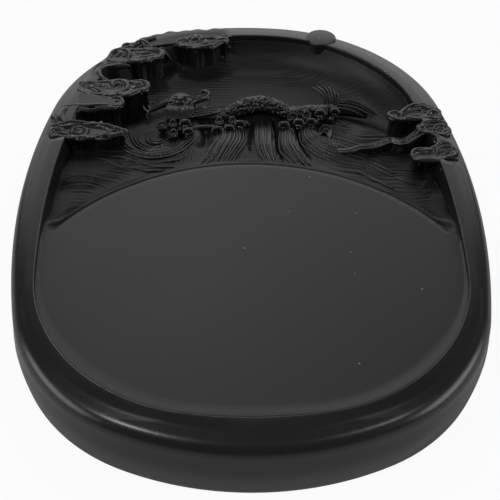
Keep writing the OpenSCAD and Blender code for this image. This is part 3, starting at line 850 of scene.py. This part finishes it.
CLOUDS = {
    "cloud_low_left": dict(
        node="cloud_left_low", lobes=LEFT_LOW, lip=64, drops=(9, 31), dish=1.15,
        lumps=[(-58.7, 25.8, 20.2, (1.6, 1.5, 0.6), (0, 0, 0), 8)],
        lines=[
            (20.6, 0.65, (-69.2, 26.5), (-68.6, 29.4), (-65.2, 30.4), (-63, 31.8), (-60, 31.6), (-55, 30.2),
             (-52, 30.6)),
            (20.6, 0.6, (-52, 30.6), (-49.8, 30.2), (-47.5, 28.6), (-45, 27.8), (-42.8, 27.2)),
            (20.3, 0.5, (-65, 28.7), (-62.4, 30), (-59.5, 29.8), (-57, 28.6)),
            (20.4, 0.6, (-68.2, 27), (-67, 28.2), (-64.8, 27.6), (-62.4, 25.8)),
            (20.4, 0.6, (-68.8, 25), (-66.8, 24.2), (-64.2, 24), (-61.3, 22.8)),
            (20.5, 0.6, (-61.2, 25), (-61.3, 28), (-59, 28.8), (-56.4, 27.6), (-55.8, 24.9), (-57.3, 23.4),
             (-59.9, 23.7)),
            (20.6, 0.55, (-60.2, 26.6), (-58.8, 27.2), (-57.6, 26)),
            (20.4, 0.5, (-59.6, 22.4), (-57.1, 21.9), (-55.2, 23), (-53.2, 22.8), (-50.7, 21.9),
             (-48.7, 22.6)),
            (20.4, 0.5, (-48.7, 22.6), (-47.1, 23.6), (-45.1, 24.4), (-43.2, 24.6)),
            (20.5, 0.75, (-45.6, 26.8), (-43.4, 27.1), (-42.2, 25.6), (-42.6, 23.4)),
            [(-51.7, 30.6, 20.2, 0.9), (-51.7, 31.8, 20.1, 0.85)]]),
    "cloud_middle_left": dict(
        node="cloud_left_middle", lobes=LEFT_MIDDLE, drops=(6, 32), under_rim=-61.5, dish=0.02,
        top=CREST + 0.02, waver=0.15,
        lines=[
            [(-65.4, 40.4, 19.6, 0.9), (-62, 40.3, 19.7, 1.1), (-58.6, 39.8, 19.6, 1.2),
             (-56, 39.5, 19.4, 1.1), (-53.4, 40.7, 19.7, 1), (-50, 40.6, 19.7, 1.1),
             (-46.6, 40.6, 19.7, 1.1)],
            (20.8, 0.5, (-66, 41.2), (-62.2, 41.6), (-57.5, 41.4), (-54, 42), (-50.4, 41.9), (-48.2, 41.4)),
            (20.7, 0.75, (-50.2, 44.8), (-48.9, 46), (-47.1, 46), (-45.6, 44.6), (-45.2, 42.4),
             (-45.9, 40.6), (-47, 40)),
            (20.8, 0.6, (-49, 42.2), (-48.2, 43.6), (-46.8, 43.8), (-46.3, 42.6)),
            (20.75, 0.5, (-55.6, 47), (-52.6, 46.8), (-50.6, 45.9), (-50.3, 44.6), (-51.5, 44.2)),
            [(-64.4, 31, 19.8, 1.2), (-66, 33.4, 20, 1.5), (-66.4, 36.8, 20, 1.5), (-65, 40, 20, 1.2)],
            (20.3, 0.9, (-67.4, 32), (-69, 34.4), (-69.2, 37.4)),
            [(-61.4, 31.4, 18.8, 1.2), (-62.6, 34.4, 19.2, 1.7), (-62.4, 38.2, 19.3, 1.7),
             (-60.8, 40.4, 19.2, 1.1)]]),
    "cloud_high_left": dict(
        node="cloud_left_high", lobes=LEFT_HIGH, lip=65, drops=(8, 33),
        lumps=[(-61.4, 56, 20.5, (1.2, 1, 0.7)), (-54.6, 55.4, 20.1, (2.4, 1, 0.5))],
        lines=[
            (20.6, 0.6, (-62.2, 55.6), (-60.1, 57), (-56.6, 56.4), (-52.9, 56.4), (-50.1, 57.4), (-46.8, 58),
             (-43.7, 57)),
            (20.6, 0.75, (-43.7, 57), (-40.7, 56.7), (-38.5, 57), (-36.8, 55.1), (-36.6, 52), (-37.8, 50.6)),
            (20.5, 0.6, (-59, 54.4), (-55.7, 54.6), (-51.9, 54.1), (-50.3, 53)),
            (20.7, 0.6, (-49.7, 53), (-50.1, 55.6), (-48.2, 57), (-45.5, 56.4), (-44.1, 53.8), (-44.7, 50.8),
             (-47, 49.8)),
            (20.8, 0.75, (-49, 54.4), (-47.8, 55.4), (-46.6, 54.4)),
            (20.5, 0.7, (-62.2, 53.1), (-61.4, 50.5), (-59, 48.6), (-56.7, 48)),
            (20.5, 0.6, (-58.8, 53.2), (-56.2, 52.6), (-53.9, 50.4), (-51.3, 48.6)),
            (20.4, 0.5, (-43.2, 52), (-40.8, 53.6), (-38.3, 54.9)),
            (20.4, 0.5, (-43.8, 49.6), (-41.7, 50.8), (-39.2, 52.3), (-37.6, 52.8)),
            (20.4, 0.55, (-52.4, 47.9), (-49.5, 48.2), (-46.6, 48.2), (-44, 47.9), (-41.9, 49.3),
             (-40, 50.3))]),
    "cloud_upper_left": dict(
        node="cloud_left_upper", lobes=LEFT_UPPER, lip=66, drops=(8, 34),
        fold=[(-33.2, 80, 20, 1.1), (-31.2, 79.8, 17.6, 0.9), (-29.8, 79.6, 15.2, 0.7)],
        lumps=[(-44.6, 80.4, 20.6, (1, 0.9, 0.8)), (-41.2, 71, 20, (1.6, 1.2, 1)),
               (-37.6, 71.6, 20, (1.5, 1.2, 1))],
        lines=[
            (20.6, 0.8, (-52.4, 72.4), (-52.6, 76.4), (-50.2, 79), (-47, 78.6), (-45, 75.6), (-45.8, 72.4)),
            (20.5, 0.6, (-50.3, 74), (-49.4, 76.2), (-47.6, 76), (-47, 73.8)),
            (20.4, 0.6, (-52, 71), (-50, 70.2), (-48.4, 71), (-46.6, 70.2)),
            (20.1, 1, (-45, 68.4), (-48.4, 68.2), (-51.5, 68.4), (-54, 68.7), (-56, 66.2), (-56.4, 63),
             (-55, 59.7), (-52, 58.2)),
            (20.6, 0.6, (-53, 70.2), (-56.4, 68.6), (-58, 65.4), (-58, 62)),
            (20.4, 0.55, (-44.7, 70.3), (-41.7, 70.9), (-38.7, 71.2), (-36.4, 72.5), (-34.2, 73)),
            (20.6, 0.75, (-39.5, 80.2), (-35.7, 79.3), (-33.5, 78.2), (-32.4, 75.8), (-32.8, 73.4),
             (-34.2, 72.6)),
            (20.4, 0.5, (-44.2, 77.4), (-41.3, 76.2), (-38.3, 76.8), (-35.6, 77.3)),
            (20.4, 0.5, (-44.2, 73), (-41.2, 73.6), (-38.6, 74.8), (-35.3, 75.5)),
            (20.6, 0.7, (-44.4, 80.6), (-43.6, 83.6), (-41.6, 85.2), (-39, 83.6), (-37, 80.6)),
            (20.5, 0.6, (-41.9, 81.4), (-40.7, 83), (-39, 81.2)),
            (20.3, 0.7, (-47.4, 81), (-48.8, 82.4), (-46.6, 83.6), (-44.8, 82.2)),
            (20.2, 0.5, (-37.4, 82), (-32, 83.6), (-28.4, 84.4)),
            [(-51.6, 77, 20.4, 0.7), (-50.2, 79, 20.4, 0.9), (-47.8, 79.6, 20.4, 0.7),
             (-45.4, 81.4, 20.4, 0.9), (-43.2, 83.4, 20.4, 0.7), (-41.6, 85.4, 20.4, 0.9),
             (-39.2, 86.2, 20.4, 0.7), (-36.4, 87.8, 20.4, 0.9)]]),
    "cloud_back_left": dict(
        node="cloud_left_back", lobes=LEFT_BACK, lip=65, drops=(8, 35),
        wall_drops=[(-29.9, 80.4, 15, 0.7), (-35.2, 76, 15.4, 0.6), (-6.6, 86.6, 16.6, 0.8),
                    (-9.4, 82.2, 14.6, 0.7), (-4.4, 87.6, 18.4, 0.5)],
        lines=[
            (20.6, 0.75, (-27, 81.8), (-27.4, 84.4), (-25.7, 86), (-23, 86.8)),
            (20.6, 0.6, (-23.4, 85.2), (-22.6, 88.4), (-20.3, 89.6), (-18, 88.6), (-17.6, 86.3),
             (-19.3, 85)),
            (20.7, 0.6, (-21.4, 86.4), (-20, 87.4), (-18.9, 86.8)),
            (20.4, 0.55, (-26.8, 81.9), (-24.8, 82.4), (-22, 81.5), (-20, 80.8), (-17.2, 80.8),
             (-14.9, 81.2), (-12.9, 80.2)),
            (20.4, 0.5, (-12.9, 80.2), (-11.9, 81.9), (-9.6, 84.6), (-7.6, 85.2)),
            (20.6, 0.65, (-16.9, 83.6), (-14.5, 83.2), (-12.4, 84.7), (-10.4, 86.6), (-8.2, 87.3),
             (-7, 85.8), (-7.3, 83.2)),
            (20.3, 0.5, (-25.4, 84), (-22.4, 84.2), (-19.6, 83.2))]),
    "cloud_high_right": dict(
        node="cloud_right_high", lobes=RIGHT_HIGH, lip=66, drops=(7, 36),
        lumps=[(52.6, 35, 20.2, (1.4, 1.5, 0.7))],
        lines=[
            (20.7, 0.65, (54.8, 34.4), (55.9, 37.4), (58.2, 40.1), (60.7, 41.8), (63.2, 41.6), (65, 39.8)),
            (20.5, 0.6, (58.4, 37.6), (60.2, 39), (62.4, 39), (63.8, 37.6)),
            (20.5, 0.7, (51.8, 32.8), (50.7, 34.4), (50.6, 36.3), (51.8, 37.3), (53.5, 37.3), (54.8, 36.2)),
            (20.4, 0.55, (54.4, 33.5), (57.8, 33.4), (61.3, 33.1), (65, 33.3), (68.2, 32.8)),
            (20.4, 0.5, (55.9, 35), (59.6, 35.6), (63.4, 35.4)),
            (20.5, 0.7, (64.8, 36), (66, 38.2), (68, 37.8), (69.2, 36)),
            (20.4, 0.6, (66, 34.6), (68, 35.2), (70, 34.4))]),
    "cloud_middle_right": dict(
        node="cloud_right_middle", lobes=RIGHT_MIDDLE, lip=68, voxel=SMALL_VOXEL,
        lumps=[(69.9, 29.2, 20.6, (0.9, 0.8, 0.6)), (67.4, 26.5, 20.4, (0.8, 0.7, 0.5))],
        lines=[
            (20.7, 0.5, (64.4, 26.1), (66, 28.8), (68.4, 29.9), (70.6, 28.4), (70.9, 25.5), (68.5, 23.8),
             (65.8, 24.1), (64.4, 26.1)),
            (20.6, 0.5, (65.8, 26.1), (67.2, 27.9), (68.9, 27.6), (69, 25.8), (67.2, 25.2)),
            (20.5, 0.6, (60.9, 30.2), (62.5, 31.2), (64.8, 31.8), (68.4, 31.8), (70.6, 31)),
            (20.3, 0.5, (61.6, 28.6), (63.4, 29.6), (65.4, 30.4))]),
    "cloud_low_right": dict(
        node="cloud_right_low", lobes=RIGHT_LOW, lip=65, drops=(5, 37), voxel=SMALL_VOXEL,
        lumps=[(66.2, 12.9, 20.4, (0.9, 0.8, 0.6)), (69.2, 14.8, 20.5, (1, 0.9, 0.5))],
        lines=[
            (20.7, 0.6, (63.8, 13.4), (64.7, 16), (67, 17.5), (69.7, 17), (71.1, 15), (70.3, 12.3),
             (67.8, 11.4), (65.2, 11.8)),
            (20.7, 0.5, (67.2, 14.2), (68.5, 15.3), (69.6, 14.4), (68.8, 13), (67.5, 12.9)),
            (20.4, 0.7, (55.1, 12.4), (55.8, 14.8), (57.6, 16.1), (60.3, 16.3), (63.2, 16.9)),
            [(62.4, 16.6, 20.1, 0.9), (65, 17.9, 20, 1.1), (66.2, 20.6, 19.9, 1.2), (65.8, 23.4, 19.9, 1)],
            (20.4, 0.6, (55.2, 12), (56.7, 10.4), (59.2, 10.4), (62.6, 10.4), (65.4, 9.9)),
            (20.3, 0.5, (57.5, 14.3), (59.9, 14), (62.6, 14.6))]),
}


def cloud(piece, node, lobes, lines, lip=None, lumps=(), fold=None, drops=None, wall_drops=(),
          voxel=CLOUD_VOXEL, under_rim=None, **shape):
    """A cloud: its tongue and rolled lip, the lines carved on its top, and the drops below it."""
    parts = [tongue("cloud_tongue", lobes, **shape)]
    if under_rim is not None:
        # left of this x it sinks to run out under the rim
        for vertex in parts[0].data.vertices:
            vertex.co.z -= 0.35*max(0, under_rim*MM - vertex.co.x)
    paths = [rolled_lip(lobes, lip)] if lip else []
    paths += [ridge(*line) if isinstance(line, tuple) else line for line in lines]
    parts.append(strands("cloud_lines", paths))
    parts += [lump(*place) for place in lumps]
    if fold:
        # a soft fold down the pocket's wall beside the cloud
        parts.append(strands("wall_fold", [fold]))
    if drops:
        parts += drips(lobes, *drops)
    for x, y, z, size in wall_drops:
        parts.append(lump(x, y, z, (size, size, 1.7*size), rings=6))
    carve(piece, parts, voxel, 2, node)


# The ribbon: its middle line (x, y, z, radius) and the strands at its forked tip
RIBBON = [(66.5, 28, 19.6, 2.1), (62.5, 27.6, 19.2, 2.1), (59.6, 26.2, 18.6, 1.8), (57.1, 24.3, 18, 1.5),
          (55.3, 23, 17.6, 1.45), (53.7, 22.4, 17.3, 1.4), (51.8, 23.3, 17, 1.35), (50, 24.3, 16.8, 1.3),
          (48.4, 24, 16.7, 1.3), (46.1, 22.7, 16.5, 1.25), (43.6, 21.8, 16.3, 1.2), (40.7, 21.5, 16.2, 1.15),
          (38.3, 21.4, 16.1, 1.1), (36.1, 20.2, 16, 1), (33.6, 19.7, 15.9, 0.9), (31.2, 20.3, 15.8, 0.8)]
RIBBON_TIPS = [[(33.4, 21, 16, 0.7), (31, 21.6, 16.1, 0.6), (28.8, 22.4, 16.2, 0.35)],
               [(28.6, 21, 15.9, 0.3), (31, 19.8, 15.9, 0.6), (33.4, 17.6, 15.7, 0.3)],
               [(33.6, 20.2, 16, 0.6), (31, 20.6, 16, 0.55), (28.4, 21.6, 15.9, 0.3)]]


def ribbon():
    """The cloud ribbon: a smooth web at the rim that narrows, with three strands along it."""
    paths = [[(x, y, z - 0.3*thick, 0.9*thick) for x, y, z, thick in RIBBON]]
    for side in (-1, 0, 1):
        paths.append([(x, y + 0.95*side*thick, z + (1.05 - 0.2*abs(side))*min(thick, 1.3), 0.5)
                      for x, y, z, thick in RIBBON[1:]])
    parts = [strands("ribbon_lines", paths + RIBBON_TIPS, 3)]
    parts += [lump(63.4, 27.2, 18.9, (3.4, 2.2, 1.3)), lump(66, 23.4, 18.8, (2, 2.6, 1.4))]
    for x, y, z, thick in RIBBON[2:]:
        parts.append(lump(x, y, z - 2.4, (1.6, 1.2*thick, 2.6), rings=6))
    carve("cloud_ribbon_flow", parts, CLOUD_VOXEL, 2, "cloud_ribbon")


# The dragon

BODY = [(-15, 43.8, 13.6, 1.4), (-11, 43.2, 14.2, 2), (-7.2, 43.4, 15.2, 2.4), (-3.6, 45, 16.3, 2.6),
        (0.4, 46, 17.2, 2.7), (4.6, 46.3, 17.6, 2.8), (8.6, 45.9, 17.3, 2.7), (12.4, 45, 16, 2.6),
        (15.6, 43.8, 14.9, 2.4), (18.8, 43.4, 15.4, 2.3), (23.8, 43.7, 15.9, 2.3), (28.8, 44.2, 15.6, 2.2),
        (32.6, 46, 15.4, 1.6)]
# Small hooks on the front of the body, each as place and size
BODY_HOOKS = [(1.2, 43.2, 17.2, 1.1), (7.6, 43.2, 17.8, 0.9), (10.4, 43, 17, 1.3), (14.6, 41.8, 15.6, 1),
              (-3.6, 42.6, 16.4, 1), (-8, 41.2, 15.6, 0.9)]


def body_at(t):
    """Place and radius along the body's middle line, t from 0 to 1."""
    run = np.array(BODY)
    at = t*(len(run) - 1)
    return np.array([np.interp(at, np.arange(len(run)), run[:, k]) for k in range(4)])


def dragon_body():
    """The arching body: a bright crest with spines and knobs, uneven scales and small hooks."""
    rng = np.random.default_rng(11)
    parts = [strands("body_run", [BODY], 5, 6), lump(4.4, 47.2, 13.2, (6.6, 1.6, 3.6))]
    paths, crest = [], []
    for t in np.linspace(0.1, 0.98, 30):
        x, y, z, r = body_at(t)
        crest.append((x, y + 0.35*r + rng.uniform(-0.25, 0.25), z + 0.8*r + rng.uniform(-0.15, 0.1),
                      rng.uniform(0.45, 0.9)))
    paths.append(crest)
    for t in np.linspace(0.12, 0.97, 44):
        x, y, z, r = body_at(t)
        lean = rng.uniform(-0.6, 1.2)
        paths.append([(x, y + 0.2*r, z + 0.85*r, 0.6), (x + 0.4*lean, y + 0.5*r, z + 0.92*r, 0.55),
                      (x + 0.8*lean, y + 0.75*r, z + 0.85*r, 0.4)])
    for _ in range(30):
        x, y, z, r = body_at(rng.uniform(0.1, 0.97))
        a, size = math.radians(rng.uniform(0, 62)), rng.uniform(0.6, 1.1)
        paths.append(foam_arc(x, y - 0.95*r*math.cos(a), z + 0.95*r*math.sin(a), size, size,
                              rng.uniform(150, 240), rng.uniform(-70, 20), 0.36))
    for x, y, z, size in BODY_HOOKS:
        paths.append(foam_arc(x, y, z, size, size, 230, -60, 0.42))
    parts.append(strands("body_lines", paths, 1, 2))
    for _ in range(170):
        x, y, z, r = body_at(rng.uniform(0.08, 0.98))
        a = math.radians(rng.uniform(-30, 160))
        size = rng.uniform(0.5, 1.0)
        parts.append(lump(x, y - r*0.93*math.cos(a), z + r*0.93*math.sin(a),
                          (size*rng.uniform(0.8, 1.5), size*0.8, size), tuple(rng.uniform(-60, 60, 3)), 5))
    for t in np.linspace(0.16, 0.95, 26):
        # knobs in two uneven rows along the top of the back
        x, y, z, r = body_at(t + rng.uniform(-0.008, 0.008))
        for a, flat in ((62, 0.9), (96, 0.5)):
            a, size = math.radians(a + rng.uniform(-10, 10)), rng.uniform(0.65, 1.05)
            parts.append(lump(x + rng.uniform(-0.5, 0.5), y - r*math.cos(a),
                              z + r*math.sin(a) + 0.3*(0.9 - flat), (size*1.2, size, size*flat), LEAN, 6))
    carve("dragon_scaled_body", parts, DRAGON_VOXEL, 0,
          "dragon_arch_front", "dragon_arch_back", "dragon_neck")


# Strands (x, y, z, radius) of the head: snout, nose, lip, jaw, brow, eye, forehead, horn, ear and cheek
HEAD_LINES = [
    [(-26.6, 48.8, 17.6, 1.6), (-29.4, 48.4, 17.2, 1.35), (-32.2, 46.9, 16.4, 1.05), (-35, 45.6, 15.7, 0.9),
     (-36.6, 45, 15.3, 0.8)],
    [(-35.4, 45.6, 15.8, 0.6), (-36.4, 46.8, 16.6, 0.6), (-35.6, 48, 17.2, 0.5), (-34.6, 47.6, 17.2, 0.3)],
    [(-36.2, 45, 15.4, 0.6), (-37.8, 45.4, 15.8, 0.5), (-38.4, 47.4, 16.2, 0.35)],
    [(-36.4, 44.8, 15.2, 0.6), (-37.2, 43.4, 14.8, 0.5), (-36.4, 42, 14.4, 0.35)],
    [(-27.6, 50.4, 18.1, 0.5), (-26.2, 51.2, 18.5, 0.7), (-24, 51.3, 18.6, 0.75), (-21.8, 50.7, 18.3, 0.55)],
    [(-28.9, 47.8, 17.6, 0.4), (-27.8, 48.7, 18.1, 0.45), (-26.4, 48.4, 18.2, 0.45), (-26.2, 47.2, 17.8, 0.4),
     (-27.4, 46.4, 17.3, 0.35)],
    [(-25, 50, 18.8, 0.35), (-24.6, 48, 18.6, 0.45), (-24.8, 46.2, 17.6, 0.3)],
    [(-22.6, 50, 18.6, 0.35), (-22.2, 48, 18.3, 0.5), (-22.8, 46, 17.2, 0.3)],
    [(-19.6, 48, 17.4, 1), (-17.6, 48.4, 18, 1), (-15.6, 48.6, 18.3, 0.85), (-14.2, 49.6, 18.6, 0.8),
     (-14, 51.4, 18.9, 0.8), (-15.2, 52.6, 19.2, 0.75), (-17, 52.6, 19.1, 0.6), (-17.6, 51.4, 18.8, 0.4)],
    [(-14.2, 49.4, 18.4, 0.6), (-13.9, 47.6, 17.6, 0.45), (-14.1, 46, 16.8, 0.25)],
    [(-20.6, 47.2, 17.4, 0.5), (-20.2, 45.6, 17.4, 0.5), (-19.6, 44.2, 17, 0.35)]]


def dragon_head():
    """The head turned to the left: domed forehead, thin snout, eye, cheek knobs and a small hooked horn."""
    parts = [lump(-24.8, 48.8, 16.4, (3.9, 3.1, 2.9)), lump(-21.6, 48.2, 16.2, (2.6, 2.4, 2.5)),
             lump(-28.2, 47.8, 15.8, (2.4, 2, 2)), strands("head_lines", HEAD_LINES, 3),
             lump(-24.6, 50.3, 18.2, (3.8, 1.7, 0.95), LEAN), lump(-27.3, 47.5, 17.6, 0.55),
             lump(-19.9, 49, 18.3, 0.85), lump(-17.7, 49.2, 18.7, (1.2, 0.9, 0.8)),
             lump(-20.9, 47.6, 18, 0.8), lump(-22.9, 49.3, 18.9, (1, 0.8, 0.6)), lump(-32.6, 42.6, 14.6, 0.5),
             lump(-25.9, 49.6, 18.9, (1.3, 0.8, 0.5))]
    carve("dragon_face", parts, DRAGON_VOXEL, 1, "dragon_head", "dragon_jaw", "dragon_horn")


def dragon_beard():
    """The beard: a smooth fan on the left, strands of hair on the right, and the mane behind."""
    rng = np.random.default_rng(6)
    paths = []
    for k in range(16):
        u = k/15
        thick = 0.9 if u < 0.45 else 0.5
        x0, y0, z0 = -28.4 + 8*u, 46.4, 17
        x1, y1 = -30.6 + 11.2*u, 41 - 1.2*math.sin(math.pi*u)
        bend = 0.7*math.sin(7*u)*smooth(0.3, 0.5, u)
        middle = ((x0 + x1)/2 + bend, (y0 + y1)/2 + 0.3, 17 + rng.uniform(-0.1, 0.2), thick)
        paths.append([(x0, y0, z0, 0.6), middle, (x1, y1, 15.9, 0.5*thick)])
    for k in range(5):
        u = k/4
        paths.append([(-20, 45.6 - 4.4*u, 16.2 - 0.4*u, 0.32), (-16.6, 45.8 - 4.4*u, 17 - 0.9*u, 0.45),
                      (-13, 45.4 - 3.2*u, 17 - 0.8*u, 0.4), (-8.6, 44.8 - 1.2*u, 16.6, 0.2)])
    parts = [strands("hair_lines", paths), lump(-25.6, 43.6, 14.9, (4.6, 2.8, 1.8)),
             lump(-15.4, 43.8, 14.2, (4.6, 1.9, 1.5))]
    carve("dragon_mane", parts, DRAGON_VOXEL, 0, "dragon_beard")


def dragon_foreleg():
    """The foreleg, which points to the left with three claws at its end."""
    paths = [[(-20.8, 35.2, 14.6, 0.8), (-17.8, 35.6, 15, 1.05), (-14.6, 36, 15, 1),
              (-11.6, 36.6, 14.6, 0.8)]]
    for k in range(3):
        paths.append([(-20, 35.2, 14.8, 0.55), (-21.6, 35.6 - 0.8*k, 14.8, 0.42),
                      (-22.6, 34.4 - 0.7*k, 14.2, 0.2)])
    carve("dragon_claw", [strands("leg_lines", paths, 3)], SMALL_VOXEL, 1, "dragon_foreleg")


BACK_PLUME = [[(29.1, 48.9, 16), (29, 52.2, 16.9), (27.3, 55.2, 17.5), (24.8, 57.3, 17.7)],
              [(30, 48.9, 16.1), (30, 52.9, 17.1), (28.5, 55.9, 17.7), (26.3, 57.9, 17.8)],
              [(31, 48.9, 16.2), (31, 52.9, 17.2), (30, 56.2, 17.8), (28.3, 58.2, 17.9)],
              [(32, 48.9, 16.2), (32.1, 52.4, 17.2), (31.5, 55.8, 17.8), (30.1, 57.8, 17.9)],
              [(33, 48.9, 16.1), (33.2, 51.8, 17.1), (33, 54.8, 17.7), (31.6, 56.8, 17.8)],
              [(33.9, 48.2, 16), (34.3, 50.6, 16.8), (34.2, 52.6, 17.3), (33.6, 54.2, 17.6)]]
SIDE_PLUME = [[(34.2, 50.8, 16), (37.7, 51.5, 15.8), (41.8, 50.8, 15.1), (45.8, 48.3, 14.1),
               (48.8, 45.7, 13)],
              [(34, 49.4, 16.1), (37.5, 49.8, 15.9), (41.6, 49.1, 15.2), (45.2, 47.2, 14.1), (48, 45, 13)],
              [(33.9, 48, 15.9), (37.3, 48, 15.6), (41, 47.3, 14.9), (44.4, 45.9, 13.9), (46.8, 44.3, 13)],
              [(34.1, 46.5, 15.6), (37.2, 46.4, 15.2), (40.2, 45.8, 14.5), (43, 44.7, 13.5)]]


# Each plume's hairs, the node that it stands for and the core (x, y, z, radius) that holds the hairs together
PLUMES = {
    "tail_plume_rising": (BACK_PLUME, "tail_plume_back",
                          [(31.4, 47.6, 12.6, 2.2), (31.4, 51.6, 13.2, 2.4), (30.4, 55, 14.6, 1.5)]),
    "tail_plume_falling": (SIDE_PLUME, "tail_plume_side",
                           [(34.6, 48.4, 12.8, 1.6), (39.6, 48, 12.5, 1.5), (44.4, 46.4, 12, 0.9)]),
}


def tail_plumes():
    """Two plumes of hair at the end of the tail, one rising to the back and one falling to the side."""
    for name, (hairs, node, core) in PLUMES.items():
        paths = [[(*place, 0.5) for place in hair[:-1]] + [(*hair[-1], 0.22)] for hair in hairs]
        finish_piece(strands(name, paths + [core]), CARVED, "carved_stone", node)


# The pearl on the rim, with half a column down the wall

def pearl():
    centre = (pearl_low + pearl_high)/2
    radius = (pearl_high[0] - pearl_low[0])/2
    deselect()
    bpy.ops.mesh.primitive_cylinder_add(vertices=96, radius=radius*MM, depth=(CREST + 0.25 - POOL)*MM,
                                        location=(centre[0]*MM, centre[1]*MM, (CREST + 0.25 + POOL)/2*MM))
    piece = named("rim_pearl")
    bpy.ops.object.transform_apply()
    bevel = piece.modifiers.new("round", "BEVEL")
    bevel.width = 0.7*MM
    bevel.segments = 4
    bevel.limit_method = "ANGLE"
    bpy.ops.object.modifier_apply(modifier="round")
    finish_piece(piece, POLISHED, "carved_stone", "pearl_disc", angle=40)


# Studio: floor, backdrop, lamps and camera

def floor_material(seen):
    """A pale floor. The camera sees it brighter, with the stone's shadow still on it."""
    material = bpy.data.materials.new("pale_floor")
    material.use_nodes = True
    tree = material.node_tree
    shader = tree.nodes["Principled BSDF"]
    feed(shader, Base_Color=grey(0.8), Roughness=0.9)
    glow = add_node(tree, "Emission", Color=grey(1))
    share = add_node(tree, "Math")
    share.operation = "MULTIPLY"
    share.inputs[1].default_value = seen
    tree.links.new(add_node(tree, "LightPath").outputs["Is Camera Ray"], share.inputs[0])
    mix = add_node(tree, "MixShader", Fac=share.outputs["Value"])
    tree.links.new(shader.outputs["BSDF"], mix.inputs[1])
    tree.links.new(glow.outputs["Emission"], mix.inputs[2])
    feed(tree.nodes["Material Output"], Surface=mix.outputs["Shader"])
    return material


def studio():
    """The floor and the sky, which is white to the camera and dim to the stone."""
    deselect()
    bpy.ops.mesh.primitive_plane_add(size=6, location=(0, 0, -0.0001))
    floor = named("floor")
    bpy.ops.object.transform_apply()
    floor.data.materials.append(floor_material(seen=0.94))
    world = bpy.data.worlds.new("studio")
    bpy.context.scene.world = world
    world.use_nodes = True
    tree = world.node_tree
    sky = tree.nodes["Background"]
    feed(sky, Color=grey(0.1))
    white = add_node(tree, "Background", Color=grey(1))
    mix = add_node(tree, "MixShader", Fac=add_node(tree, "LightPath").outputs["Is Camera Ray"])
    tree.links.new(sky.outputs["Background"], mix.inputs[1])
    tree.links.new(white.outputs["Background"], mix.inputs[2])
    feed(tree.nodes["World Output"], Surface=mix.outputs["Shader"])


def softbox(name, place, target, size, power):
    """A rectangular lamp, its place and target in millimetres."""
    deselect()
    bpy.ops.object.light_add(type="AREA", location=[c*MM for c in place])
    lamp = bpy.context.object
    lamp.name = name
    lamp.data.shape = "RECTANGLE"
    lamp.data.size, lamp.data.size_y = [s*MM for s in size]
    lamp.data.energy = power
    aim = Vector(target)*MM - lamp.location
    lamp.rotation_euler = aim.to_track_quat("-Z", "Y").to_euler()


def camera():
    """The photograph's view: place and target in millimetres, a small roll, and the lens."""
    place, target = Vector((-6.532, -199.123, 191.521)), Vector((0.094, -11.617, 0))
    roll = math.radians(1.15)
    view = (target - place).normalized()
    right = view.cross(Vector((0, 0, 1))).normalized()
    up = right.cross(view)
    right, up = math.cos(roll)*right + math.sin(roll)*up, math.cos(roll)*up - math.sin(roll)*right
    data = bpy.data.cameras.new("camera")
    data.lens, data.sensor_width = 57.79, 36
    data.clip_start = 0.01
    eye = bpy.data.objects.new("camera", data)
    bpy.context.collection.objects.link(eye)
    eye.matrix_world = Matrix.Translation(place*MM) @ Matrix((right, up, -view)).transposed().to_4x4()
    bpy.context.scene.camera = eye


studio()
softbox("backdrop_light", (0, 900, 280), (0, 0, 0), (1800, 480), 2.8)
softbox("upper_light", (0, 820, 640), (0, 0, 0), (1500, 260), 0.7)
softbox("spark", (-120, 640, 820), (0, 30, 0), (70, 70), 0.5)
softbox("key", (0, 640, 900), (0, 0, 0), (700, 300), 0.5)
softbox("left_light", (-900, -200, 350), (0, 0, 0), (700, 400), 2.9)
softbox("right_light", (900, -200, 350), (0, 0, 0), (700, 400), 3.0)
softbox("left_lamp", (-420, -250, 900), (0, -40, 0), (80, 80), 1.6)
softbox("right_lamp", (480, -250, 900), (0, -40, 0), (80, 80), 0.7)
camera()

stone_shell()
grinding_face()
bed()
waves()
foam()
for piece_name, cloud_shape in CLOUDS.items():
    cloud(piece_name, **cloud_shape)
ribbon()
dragon_body()
dragon_head()
dragon_beard()
dragon_foreleg()
tail_plumes()
pearl()

bpy.context.scene.view_settings.view_transform = "Standard"
